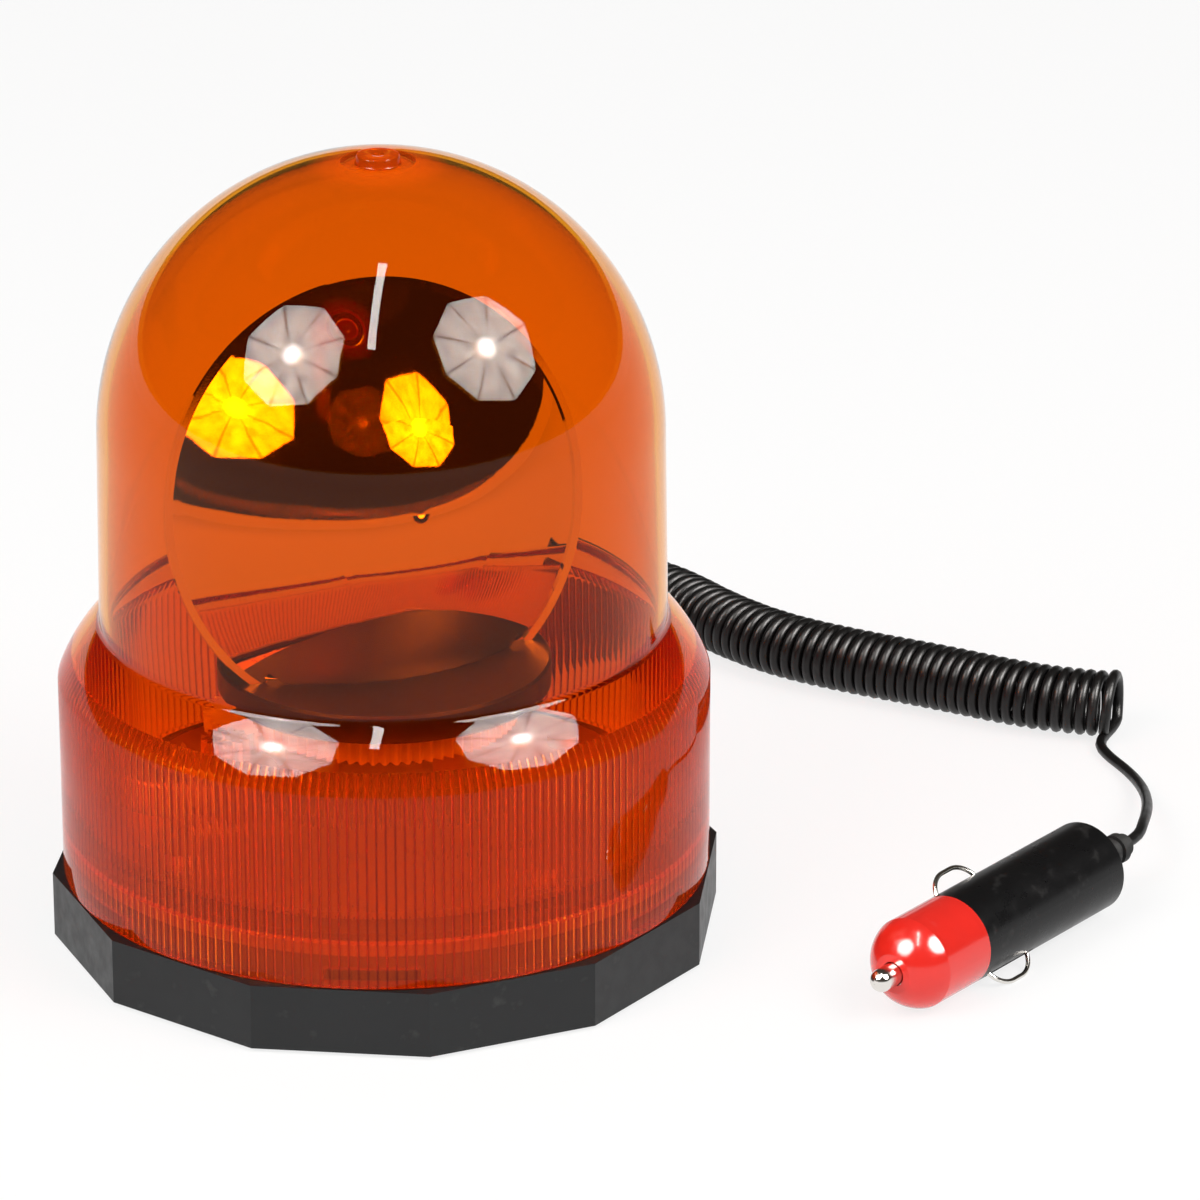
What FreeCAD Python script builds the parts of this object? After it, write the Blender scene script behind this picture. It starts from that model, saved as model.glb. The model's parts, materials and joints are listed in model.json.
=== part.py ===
"""Rotating beacon with a bayonet lens, a geared turntable, a magnet foot and a 12 V plug lead.

Millimetres, +Z up. The origin is the middle of the underside. Flats of the twelve-sided base
face +X, -X, +Y and -Y, and the lead leaves through the +Y flat.
"""
import FreeCAD, Part
import math
import os
import re
import Sketcher
from FreeCAD import Placement, Rotation, Vector

# name, value, meaning. Lengths are millimetres and angles are degrees.
SIZES = [
    # base moulding
    ("base_corner_r", 75.0, "axis to a corner of the twelve-sided base"),
    ("rim_gap", 0.8, "floor to the rim of the base"),
    ("base_top", 15.7, "height of the deck that carries the lens"),
    ("base_wall", 2.6, "side wall and deck of the base"),
    ("floor_bottom", 9.8, "underside of the base floor"),
    ("floor_thick", 2.6, "thickness of the base floor"),
    ("lug_reach", 4.2, "radial room for the bayonet lugs between spigot and lens"),
    ("spigot_wall", 3.0, "wall of the spigot"),
    ("spigot_rise", 11.3, "top of the spigot above the deck"),
    ("rib_thick", 1.6, "webs between the spigot and the side wall"),
    ("root", 0.5, "how deep a lug or a web starts inside the wall that carries it"),
    ("overcut", 1.0, "how far a cut runs past the face that it opens"),
    ("touch_gap", 0.05, "gap between pieces that sit against each other"),
    ("press_gap", 0.02, "gap between pieces pressed together"),
    ("edge", 0.6, "small chamfer of turned pieces"),
    # bayonet
    ("lug_count", 6, "bayonet lugs round the rim"),
    ("lug_turn", -24.5, "angle of the first lug"),
    ("lens_lug_span", 17.0, "angle covered by a lens lug"),
    ("base_lug_span", 19.0, "angle covered by a spigot lug"),
    ("lug_gap", 0.4, "clearance round the bayonet lugs"),
    ("lug_inset", 1.0, "spigot lugs shorter than the lens lugs"),
    ("lens_lug_thick", 3.4, "height of a lens lug"),
    ("base_lug_thick", 2.6, "height of a spigot lug"),
    ("lug_stop_span", 2.0, "angle covered by the stop beside each spigot lug"),
    # lens
    ("seat_gap", 0.2, "lens edge above the deck"),
    ("band_inset", 0.09, "ribbed band behind the flats of the base"),
    ("band_top", 60.5, "top of the upright band"),
    ("skirt_top", 26.0, "height up to which the band is thinner"),
    ("skirt_wall", 1.65, "wall of the thin skirt"),
    ("lens_wall", 2.45, "wall of the band and dome"),
    ("shoulder_in", 9.45, "crease inside the ribbed band"),
    ("shoulder_rise", 13.5, "crease above the top of the band"),
    ("dome_draft", 0.6, "radius that the dome wall loses up to the domed top"),
    ("dome_rise", 43.2, "middle of the domed top above the crease"),
    ("nub_groove_r", 8.2, "outside of the groove round the top nub"),
    ("nub_r", 4.75, "radius of the top nub"),
    ("nub_rise", 1.1, "top nub above the dome"),
    ("nub_dimple_r", 1.4, "dimple in the top nub"),
    ("nub_groove_depth", 0.5, "depth of the groove round the nub"),
    ("nub_dimple_depth", 0.7, "depth of the dimple in the nub"),
    ("gasket_gap", 0.5, "gasket to lens"),
    ("gasket_thick", 2.6, "height of the gasket"),
    # magnet foot
    ("boot_r", 47.0, "outside of the rubber boot"),
    ("boot_thick", 1.2, "floor of the rubber boot"),
    ("boot_wall", 1.7, "side of the rubber boot"),
    ("boot_hole_r", 7.0, "screw access through the boot"),
    ("cup_wall", 2.0, "steel of the magnet cup"),
    ("magnet_gap", 0.5, "magnet to the side of its cup"),
    ("magnet_bore_r", 15.0, "hole in the ring magnet"),
    ("magnet_screw_r", 2.0, "shank of the magnet screw"),
    ("magnet_head_r", 4.5, "head of the magnet screw"),
    ("magnet_head_thick", 3.0, "height of the magnet screw's head"),
    ("magnet_grip", 7.0, "length of magnet screw in its boss"),
    ("boss_wall", 3.6, "wall of the middle boss"),
    # chassis
    ("chassis_rise", 12.3, "underside of the chassis plate above the deck"),
    ("chassis_thick", 1.6, "thickness of the chassis plate"),
    ("chassis_gap", 3.5, "chassis plate to the inside of the spigot"),
    ("post_inset", 13.5, "middle of a chassis pillar to the inside of the spigot"),
    ("post_r", 4.0, "radius of a chassis pillar"),
    ("chassis_screw_r", 1.5, "shank of a chassis screw"),
    ("chassis_head_r", 3.4, "head of a chassis screw"),
    ("chassis_head_thick", 2.2, "height of a chassis screw's head"),
    ("chassis_grip", 9.0, "length of a chassis screw in its pillar"),
    ("screw_gap", 0.15, "clearance round a screw"),
    # lamp post and lamp holder
    ("post_tube_r", 7.0, "outside of the hollow lamp post"),
    ("post_bore_r", 4.5, "bore of the lamp post"),
    ("post_flange_r", 14.0, "foot of the lamp post"),
    ("post_flange_thick", 2.0, "thickness of that foot"),
    ("post_rise", 5.5, "top of the lamp post above the turntable"),
    ("holder_wall", 1.3, "sheet of the lamp holder"),
    ("holder_gap", 0.1, "clearance between lamp post and lamp holder"),
    ("cap_gap", 0.25, "clearance round the lamp cap"),
    ("holder_rise", 13.0, "top of the lamp holder above the lamp post"),
    ("holder_lift", 0.6, "foot of the lamp holder above the turntable, which it keeps down"),
    ("insulator_thick", 1.4, "disc under the lamp"),
    ("contact_r", 2.2, "radius of the spring contact"),
    ("contact_rise", 0.9, "contact above its disc"),
    ("contact_tail", 4.0, "contact below its disc"),
    # lamp
    ("focus_rise", 10.3, "filament above the lamp cap"),
    ("lamp_cap_r", 7.5, "radius of the lamp cap"),
    ("lamp_cap_length", 15.5, "height of the lamp cap"),
    ("cap_nib", 1.0, "contact under the lamp cap"),
    ("cap_nib_r", 2.6, "radius of that contact"),
    ("pin_below", 19.0, "filament to the pins of the cap"),
    ("pin_r", 1.0, "radius of a cap pin"),
    ("pin_poke", 0.85, "end of a cap pin past the bore of the holder"),
    ("pin_gap", 0.3, "clearance round a cap pin in its slot"),
    ("neck_in", 0.5, "neck of the glass inside the edge of the cap"),
    ("globe_r", 9.4, "radius of the glass"),
    ("globe_wall", 0.8, "thickness of the glass"),
    ("globe_foot", 1.2, "thickness of the glass above the cap"),
    ("filament_r", 0.35, "radius of the filament and its wires"),
    ("filament_span", 3.0, "half the length of the filament"),
    # turntable and reflector
    ("bearing_gap", 0.06, "running clearance of a hub on its post"),
    ("hub_wall", 3.4, "wall of the turntable hub"),
    ("hub_lift", 1.4, "foot of the hub above the foot of the lamp post"),
    ("collar_r", 14.0, "collar that carries the ring gear"),
    ("collar_thick", 3.0, "height of that collar"),
    ("table_r", 37.0, "radius of the turntable"),
    ("table_thick", 2.7, "thickness of the turntable"),
    ("table_gap", 0.8, "turntable's lip above the idler's axle"),
    ("table_lip", 3.6, "depth of the lip under the turntable"),
    ("table_lip_wall", 1.5, "wall of that lip"),
    ("reflector_turn", 30.0, "heading of the reflector's back, from -Y towards +X"),
    ("reflector_tilt", 12.0, "rise of the reflector's axis"),
    ("reflector_focal", 21.8, "focal length of the reflector"),
    ("reflector_r", 47.5, "rim radius of the reflector"),
    ("reflector_wall", 1.4, "wall of the reflector"),
    ("rim_lip", 0.5, "lip round the reflector's rim, beyond its wall"),
    ("foot_out", 25.0, "middle of a reflector foot from the plane of symmetry"),
    ("foot_width", 11.0, "width of a reflector foot"),
    ("foot_length", 15.0, "length of a reflector foot"),
    ("foot_thick", 1.6, "thickness of a reflector foot"),
    ("foot_screw_r", 1.1, "shank of a reflector screw"),
    ("foot_head_r", 2.4, "head of a reflector screw"),
    ("foot_head_thick", 1.5, "height of a reflector screw's head"),
    # gears
    ("gear_module", 0.8, "module of all the gears"),
    ("gear_pressure", 25.0, "pressure angle"),
    ("ring_teeth", 72, "teeth of the turntable's ring gear"),
    ("wheel_teeth", 36, "teeth of the idler's wheel"),
    ("idler_teeth", 12, "teeth of the idler's pinion"),
    ("pinion_teeth", 12, "teeth of the motor's pinion"),
    ("web_rim", 3.2, "ring gear's web holes inside its pitch circle"),
    ("gear_slack", 0.15, "extra distance between gear centres, for backlash"),
    ("ring_lift", 8.0, "ring gear above the idler's wheel"),
    ("ring_face", 5.0, "face width of the ring gear"),
    ("wheel_lift", 0.3, "idler's wheel above the foot of the motor's pinion"),
    ("wheel_face", 4.0, "face width of the idler's wheel"),
    ("idler_overlap", 1.0, "idler pinion above the ring gear"),
    ("idler_turn", 148.0, "angle of the idler's axle"),
    ("axle_r", 1.5, "radius of the idler's axle"),
    ("axle_shoulder_r", 3.2, "shoulder under the idler"),
    ("axle_play", 0.3, "end play of the idler"),
    ("axle_end", 0.5, "axle above its clip"),
    ("axle_head_r", 2.5, "head of the axle under the chassis plate"),
    ("axle_head_thick", 0.8, "thickness of that head"),
    ("clip_thick", 0.6, "clip above the idler"),
    ("clip_r", 3.0, "radius of that clip"),
    # motor
    ("motor_r", 12.0, "radius of the motor"),
    ("motor_pitch_r", 36.0, "axis to the motor's shaft"),
    ("motor_length", 20.0, "length of the motor's can"),
    ("motor_rise", 5.8, "top of the motor's can above the chassis plate"),
    ("motor_edge", 1.4, "rounded edge of the can"),
    ("motor_cap_thick", 1.8, "plastic end of the motor"),
    ("motor_boss_r", 3.0, "bearing boss of the motor"),
    ("motor_boss_rise", 1.4, "height of that boss"),
    ("motor_hole_gap", 0.6, "clearance round the motor"),
    ("shaft_r", 1.0, "radius of the motor's shaft"),
    ("shaft_gap", 0.05, "clearance in the motor's bearing"),
    ("shaft_depth", 12.0, "shaft inside the can"),
    ("shaft_room", 0.5, "room under the shaft inside the can"),
    ("shaft_end", 1.0, "shaft beyond its pinion"),
    ("pinion_gap", 0.9, "motor boss to pinion"),
    ("pinion_face", 5.0, "face width of the motor's pinion"),
    ("bracket_thick", 1.2, "sheet of the motor bracket"),
    ("bracket_width", 10.0, "width of the motor bracket"),
    ("bracket_reach", 13.6, "motor axis to the inside of a bracket leg"),
    ("bracket_turn", -60.0, "angle from the motor's radius to the bracket"),
    ("bracket_foot", 6.5, "length of a bracket foot"),
    ("small_screw_r", 0.9, "shank of a small screw"),
    ("small_head_r", 1.9, "head of a small screw"),
    ("small_head_thick", 1.1, "height of a small screw's head"),
    ("motor_screw_out", 6.0, "motor screws from the shaft"),
    # lead
    ("lead_z", 7.2, "height of the lead at the base"),
    ("gland_hole_r", 3.9, "hole for the gland"),
    ("gland_flange_r", 5.4, "flange of the gland"),
    ("gland_flange_thick", 1.4, "thickness of that flange"),
    ("gland_neck_r", 3.8, "gland behind its flange"),
    ("gland_length", 9.5, "gland outside the wall"),
    ("gland_tip_r", 2.4, "free end of the gland"),
    ("cord_r", 1.3, "radius of the cord"),
    ("coil_r", 8.0, "outside radius of the curly stretch"),
    # plug
    ("plug_x", 156.36, "back face of the plug, along X"),
    ("plug_y", 22.16, "back face of the plug, along Y"),
    ("plug_lift", 0.15, "plug above the floor"),
    ("plug_heading", 237.6, "direction of the plug's axis, from +X towards +Y"),
    ("plug_r", 10.45, "radius of the plug"),
    ("plug_wall", 2.0, "wall of the plug"),
    ("plug_length", 52.0, "length of the plug's black body"),
    ("plug_back", 2.5, "end wall of the plug"),
    ("plug_edge", 1.0, "chamfer of the plug's back edge"),
    ("seam_turn", 14.0, "angle of the seam above the horizontal"),
    ("nose_collar", 15.0, "straight part of the nose"),
    ("nose_length", 22.0, "length of the nose"),
    ("nose_face_r", 4.5, "flat front of the domed nose"),
    ("nose_spigot", 1.4, "nose inside the body"),
    ("nose_gap", 0.15, "clearance between nose and body"),
    ("tip_r", 2.6, "radius of the sprung tip"),
    ("tip_gap", 0.2, "clearance round the tip"),
    ("tip_rise", 6.6, "tip in front of the nose"),
    ("tip_flange_r", 3.7, "flange that keeps the tip in"),
    ("tip_flange_thick", 1.5, "thickness of that flange"),
    ("tip_throat", 3.5, "thickness of the nose's front"),
    ("fuse_r", 3.0, "radius of the fuse"),
    ("fuse_length", 30.0, "length of the fuse"),
    ("fuse_gap", 4.4, "fuse to the tip's flange"),
    ("side_turn", -45.0, "angle of the first side contact"),
    ("side_wire_r", 0.55, "radius of a side contact's wire"),
    ("side_rise", 4.3, "side contact above the plug"),
    ("side_bow", 6.1, "depth of a side contact's bow"),
    ("side_length", 15.0, "length of a side contact's bow"),
    ("side_middle", 41.0, "back face to the middle of a side contact"),
    ("side_slot_gap", 0.6, "clearance round a side contact's wire"),
    ("side_bend", 1.0, "bend between a side contact's bow and its foot"),
    ("side_foot", 0.8, "straight foot of a side contact"),
    ("relief_r", 3.5, "radius of the plug's strain relief"),
    ("relief_length", 14.0, "strain relief behind the plug"),
    ("relief_flange_r", 5.0, "flange of the strain relief inside the plug"),
    ("relief_ring", 2.0, "length of a ring of the strain relief"),
    ("relief_groove", 1.5, "groove between those rings, and thickness of the flange"),
    ("relief_step", 0.8, "depth of that groove"),
]

ALIASES = {name for name, _, _ in SIZES}
FULL_TURN = 360
BASE_SIDES = 12

doc = FreeCAD.newDocument("rotating_beacon")
sheet = doc.addObject("Spreadsheet::Sheet", "Sizes")
for row, (name, number, meaning) in enumerate(SIZES, 1):
    sheet.set(f"A{row}", meaning)
    sheet.set(f"B{row}", str(number))
    sheet.setAlias(f"B{row}", name)
doc.recompute()

nodes = []


# --- helpers -------------------------------------------------------------------------------

def in_cells(text):
    """The expression with the sheet's name before each of its aliases."""
    return re.sub(r"[A-Za-z_]\w*", lambda word: f"Sizes.{word[0]}" if word[0] in ALIASES else word[0], text)


def size(text):
    """The number that an expression of sheet aliases has now."""
    return float(sheet.evalExpression(in_cells(text)))


def bind(item, name, text):
    """Tie a property to an expression of sheet aliases."""
    item.setExpression(name, in_cells(text))


def origin_item(body, role):
    """One of the body's own origin planes or axes."""
    return next(item for item in body.Origin.OriginFeatures if item.Role == role)


def new_body(label):
    """An empty PartDesign body that becomes one node."""
    body = doc.addObject("PartDesign::Body", label)
    body.Label = label
    nodes.append(body)
    return body


def sketch_on(body, role="XY_Plane", height="0"):
    """A sketch on one of the body's origin planes, lifted along the plane's normal."""
    sketch = body.newObject("Sketcher::SketchObject", body.Label + "_sketch")
    sketch.AttachmentSupport = [(origin_item(body, role), "")]
    sketch.MapMode = "FlatFace"
    bind(sketch, "AttachmentOffset.Base.z", height)
    return sketch


def pin_across(sketch, geometry, end, text, kind="DistanceX", axis=-2):
    """Hold one coordinate of a point at an expression, or on the axis where it is 0."""
    number = size(text)
    if abs(number) < 1e-9:
        sketch.addConstraint(Sketcher.Constraint("PointOnObject", geometry, end, axis))
        return
    index = sketch.addConstraint(Sketcher.Constraint(kind, -1, 1, geometry, end, number))
    bind(sketch, f"Constraints[{index}]", text)


def pin_up(sketch, geometry, end, text):
    """Hold the other coordinate."""
    pin_across(sketch, geometry, end, text, "DistanceY", -1)


def pin_point(sketch, geometry, end, across, up):
    """Hold one point of a sketch at two expressions."""
    pin_across(sketch, geometry, end, across)
    pin_up(sketch, geometry, end, up)


def outline(sketch, corners):
    """Close an outline through corners given as expressions.

    A corner is (across, up). A corner (across, up, (centre across, centre up), turn) starts an
    arc about that centre, anticlockwise when turn is 1 and clockwise when it is -1.
    """
    spots = [Vector(size(corner[0]), size(corner[1]), 0) for corner in corners]
    starts, ends = [], []
    for index, corner in enumerate(corners):
        here = spots[index]
        there = spots[(index + 1) % len(spots)]
        if len(corner) == 2:
            sketch.addGeometry(Part.LineSegment(here, there))
            starts.append((index, 1))
            ends.append((index, 2))
            continue
        middle = Vector(size(corner[2][0]), size(corner[2][1]), 0)
        angles = [math.atan2(spot.y - middle.y, spot.x - middle.x) for spot in (here, there)]
        if corner[3] < 0:
            angles.reverse()
        if angles[1] < angles[0]:
            angles[1] += 2 * math.pi
        circle = Part.Circle(middle, Vector(0, 0, 1), (here - middle).Length)
        sketch.addGeometry(Part.ArcOfCircle(circle, *angles))
        starts.append((index, 1 if corner[3] > 0 else 2))
        ends.append((index, 2 if corner[3] > 0 else 1))
    for index, corner in enumerate(corners):
        sketch.addConstraint(Sketcher.Constraint("Coincident", *ends[index - 1], *starts[index]))
        pin_point(sketch, *starts[index], corner[0], corner[1])
        if len(corner) > 2:
            chord = spots[(index + 1) % len(spots)] - spots[index]
            if abs(chord.y) > abs(chord.x):
                pin_across(sketch, index, 3, corner[2][0])
            else:
                pin_up(sketch, index, 3, corner[2][1])


def circles(sketch, rings):
    """Add circles, each (across, up, radius) as expressions."""
    for across, up, radius in rings:
        middle = Vector(size(across), size(up), 0)
        index = sketch.addGeometry(Part.Circle(middle, Vector(0, 0, 1), size(radius)))
        pin_point(sketch, index, 3, across, up)
        hold = sketch.addConstraint(Sketcher.Constraint("Radius", index, size(radius)))
        bind(sketch, f"Constraints[{hold}]", radius)


def sector(inner, outer, middle, span):
    """Corners of a ring's sector, given by two radii, its middle angle and its span."""
    first = f"({middle} - {span} / 2)"
    last = f"({middle} + {span} / 2)"
    centre = ("0", "0")
    return [
        (f"{inner} * cos({first})", f"{inner} * sin({first})"),
        (f"{outer} * cos({first})", f"{outer} * sin({first})", centre, 1),
        (f"{outer} * cos({last})", f"{outer} * sin({last})"),
        (f"{inner} * cos({last})", f"{inner} * sin({last})", centre, -1),
    ]


def dodecagon(radius):
    """Corners of a twelve-sided outline whose flats face the axes."""
    corners = []
    for index in range(BASE_SIDES):
        angle = (index + 0.5) * FULL_TURN / BASE_SIDES
        corners.append((f"{radius} * cos({angle})", f"{radius} * sin({angle})"))
    return corners


def feature(body, kind, sketch, **settings):
    """Add a PartDesign feature on a sketch, and make sure that it adds or cuts."""
    before = body.Shape.Volume if body.Tip else 0.0
    item = body.newObject("PartDesign::" + kind, body.Label + "_" + kind.lower())
    item.Profile = sketch
    for name, setting in settings.items():
        if isinstance(setting, str):
            bind(item, name, setting)
        else:
            setattr(item, name, setting)
    doc.recompute()
    change = body.Shape.Volume - before
    if (change <= 0) != (kind in ("Pocket", "Groove")) or abs(change) < 1e-6:
        raise RuntimeError(f"{item.Label} changes the volume by {change}")
    return item


def pad(body, sketch, length, **settings):
    """Raise a sketch by a length."""
    return feature(body, "Pad", sketch, Length=length, **settings)


def pocket(body, sketch, depth, **settings):
    """Cut below a sketch by a depth."""
    return feature(body, "Pocket", sketch, Length=depth, **settings)


def round_pattern(body, originals, count, axis="Z_Axis"):
    """Repeat features evenly round one of the body's axes."""
    pattern = body.newObject("PartDesign::PolarPattern", body.Label + "_pattern")
    pattern.Originals = originals
    pattern.Axis = (origin_item(body, axis), [""])
    pattern.Angle = FULL_TURN
    bind(pattern, "Occurrences", count)
    body.Tip = pattern
    doc.recompute()
    return pattern


def turned(label, corners, angle=FULL_TURN):
    """A body turned about its own Z axis from corners given as (radius, height)."""
    body = new_body(label)
    sketch = sketch_on(body, "XZ_Plane")
    outline(sketch, corners)
    feature(body, "Revolution", sketch, ReferenceAxis=(sketch, ["V_Axis"]), Angle=angle)
    return body


def ring_corners(inner, outer, bottom, top):
    """Corners of a rectangular ring section."""
    return [(inner, bottom), (outer, bottom), (outer, top), (inner, top)]


def place(item, across, along, height="0"):
    """Bind an item's position to expressions."""
    bind(item, "Placement.Base.x", across)
    bind(item, "Placement.Base.y", along)
    bind(item, "Placement.Base.z", height)


def solid_node(label, shape):
    """A node whose shape is worked out with Part's own functions."""
    item = doc.addObject("Part::Feature", label)
    item.Label = label
    item.Shape = shape
    nodes.append(item)
    return item


def screw_at(spot, head_r, head_thick, shank_r, shank_length):
    """A pan-head screw that points down, with the underside of its head at a spot."""
    head = Part.makeCylinder(head_r, head_thick, spot)
    shank = Part.makeCylinder(shank_r, shank_length, spot, Vector(0, 0, -1))
    return head.fuse(shank).removeSplitter()


def polar(radius, angle, height=0.0):
    """A point from its radius, its angle in degrees and its height."""
    return Vector(radius * math.cos(math.radians(angle)), radius * math.sin(math.radians(angle)), height)


# --- base moulding -------------------------------------------------------------------------

BASE_FLAT = f"(base_corner_r * cos({FULL_TURN / BASE_SIDES / 2}))"
INNER_CORNER_R = f"(base_corner_r - base_wall / cos({FULL_TURN / BASE_SIDES / 2}))"
BAND_R = f"({BASE_FLAT} - band_inset)"
SKIRT_BORE = f"({BAND_R} - skirt_wall)"
BAND_BORE = f"({BAND_R} - lens_wall)"
SPIGOT_R = f"({SKIRT_BORE} - lug_reach)"
SPIGOT_BORE = f"({SPIGOT_R} - spigot_wall)"
SPIGOT_TOP = "(base_top + spigot_rise)"
FLOOR_TOP = "(floor_bottom + floor_thick)"
LENS_BOTTOM = "(base_top + seat_gap)"
LENS_LUG_BOTTOM = f"({LENS_BOTTOM} + lug_gap)"
BASE_LUG_BOTTOM = f"({LENS_LUG_BOTTOM} + lens_lug_thick + lug_gap)"
BASE_LUG_R = f"({SKIRT_BORE} - lug_gap - lug_inset)"
CREASE_R = f"({BAND_R} - shoulder_in)"
CREASE_Z = "(band_top + shoulder_rise)"
DOME_R = f"({CREASE_R} - dome_draft)"
DOME_Z = f"({CREASE_Z} + dome_rise)"
CHASSIS_Z = "(base_top + chassis_rise)"
CHASSIS_R = f"({SPIGOT_BORE} - chassis_gap)"
CHASSIS_TOP = f"({CHASSIS_Z} + chassis_thick)"
POST_PITCH_R = f"({SPIGOT_BORE} - post_inset)"
POST_X = f"({POST_PITCH_R} * cos(45))"
MOTOR_TOP = f"({CHASSIS_TOP} + motor_rise)"
MOTOR_BOTTOM = f"({MOTOR_TOP} - motor_length)"
MOTOR_BOSS_TOP = f"({MOTOR_TOP} + motor_boss_rise)"
PINION_Z = f"({MOTOR_BOSS_TOP} + pinion_gap)"
WHEEL_BOTTOM = f"({PINION_Z} + wheel_lift)"
RING_BOTTOM = f"({WHEEL_BOTTOM} + wheel_face + ring_lift)"
IDLER_TOP = f"({RING_BOTTOM} + ring_face + idler_overlap)"
CLIP_Z = f"({IDLER_TOP} + axle_play)"
AXLE_TOP = f"({CLIP_Z} + clip_thick + axle_end)"
TABLE_UNDER = f"({AXLE_TOP} + table_gap + table_lip)"
TABLE_TOP = f"({TABLE_UNDER} + table_thick)"
POST_FOOT_TOP = f"({CHASSIS_TOP} + post_flange_thick)"
HUB_BOTTOM = f"({POST_FOOT_TOP} + hub_lift)"
HUB_BORE = "(post_tube_r + bearing_gap)"
HUB_R = f"({HUB_BORE} + hub_wall)"
POST_TOP = f"({TABLE_TOP} + post_rise)"
HOLDER_FOOT = f"({TABLE_TOP} + holder_lift)"
HOLDER_FLOOR = f"({POST_TOP} + holder_wall)"
HOLDER_TOP = f"({POST_TOP} + holder_rise)"
HOLDER_BORE = "(lamp_cap_r + cap_gap)"
HOLDER_R = f"({HOLDER_BORE} + holder_wall)"
INSULATOR_TOP = f"({HOLDER_FLOOR} + insulator_thick)"
CONTACT_TOP = f"({INSULATOR_TOP} + contact_rise)"
CAP_BOTTOM = f"({CONTACT_TOP} + cap_nib)"
CAP_TOP = f"({CAP_BOTTOM} + lamp_cap_length)"
FOCUS_Z = f"({CAP_TOP} + focus_rise)"
PIN_Z = f"({FOCUS_Z} - pin_below)"
PIN_REACH = f"({HOLDER_BORE} + pin_poke)"
PLUG_Z = "(plug_r + plug_lift)"


def build_base():
    """Twelve-sided moulding with a floor, a lens spigot, bayonet lugs, pillars and webs."""
    base = new_body("base_housing")
    block = sketch_on(base, height="rim_gap")
    outline(block, dodecagon("base_corner_r"))
    pad(base, block, "base_top - rim_gap")
    under = sketch_on(base, height="rim_gap")
    outline(under, dodecagon(INNER_CORNER_R))
    pocket(base, under, "base_top - base_wall - rim_gap", Reversed=True)
    mouth = sketch_on(base, height="base_top")
    circles(mouth, [("0", "0", SPIGOT_BORE)])
    pocket(base, mouth, "base_wall + overcut")
    spigot = sketch_on(base, height="floor_bottom")
    circles(spigot, [("0", "0", SPIGOT_R), ("0", "0", SPIGOT_BORE)])
    pad(base, spigot, f"{SPIGOT_TOP} - floor_bottom")
    floor = sketch_on(base, height="floor_bottom")
    circles(floor, [("0", "0", SPIGOT_R)])
    pad(base, floor, "floor_thick")
    boss = sketch_on(base, height="floor_bottom")
    circles(boss, [("0", "0", "magnet_screw_r + boss_wall")])
    pad(base, boss, "magnet_grip + boss_wall")
    thread = sketch_on(base, height="floor_bottom")
    circles(thread, [("0", "0", "magnet_screw_r + screw_gap")])
    pocket(base, thread, "magnet_grip + screw_gap", Reversed=True)
    pillar = sketch_on(base, height=FLOOR_TOP)
    circles(pillar, [(POST_X, POST_X, "post_r")])
    pillars = pad(base, pillar, f"{CHASSIS_Z} - {FLOOR_TOP}")
    round_pattern(base, [pillars], "4")
    hole = sketch_on(base, height=CHASSIS_Z)
    circles(hole, [(POST_X, POST_X, "chassis_screw_r + screw_gap")])
    holes = pocket(base, hole, "chassis_grip + screw_gap")
    round_pattern(base, [holes], "4")
    lug = sketch_on(base, height=BASE_LUG_BOTTOM)
    outline(lug, sector(f"({SPIGOT_R} - root)", BASE_LUG_R, "lug_turn", "base_lug_span"))
    lugs = pad(base, lug, "base_lug_thick")
    stop = sketch_on(base, height="base_top - root")
    stop_turn = "(lug_turn - (base_lug_span + lug_stop_span) / 2)"
    outline(stop, sector(f"({SPIGOT_R} - root)", BASE_LUG_R, stop_turn, "lug_stop_span"))
    stops = pad(base, stop, f"{BASE_LUG_BOTTOM} + base_lug_thick - base_top + root")
    round_pattern(base, [lugs, stops], "lug_count")
    web = sketch_on(base, height="floor_bottom")
    outline(web, [
        (f"{SPIGOT_R} - root", "-rib_thick / 2"), (f"{BASE_FLAT} - base_wall + root", "-rib_thick / 2"),
        (f"{BASE_FLAT} - base_wall + root", "rib_thick / 2"), (f"{SPIGOT_R} - root", "rib_thick / 2")])
    webs = pad(base, web, "base_top - base_wall - floor_bottom + root")
    round_pattern(base, [webs], "6")
    exit_hole = sketch_on(base, "XZ_Plane", f"-({BASE_FLAT} + overcut)")
    circles(exit_hole, [("0", "lead_z", "gland_hole_r")])
    pocket(base, exit_hole, "base_wall + 2 * overcut", Reversed=True)
    way_up = sketch_on(base, height=FLOOR_TOP)
    circles(way_up, [("0", POST_PITCH_R, "gland_hole_r")])
    pocket(base, way_up, "floor_thick + overcut")
    return base


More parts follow.
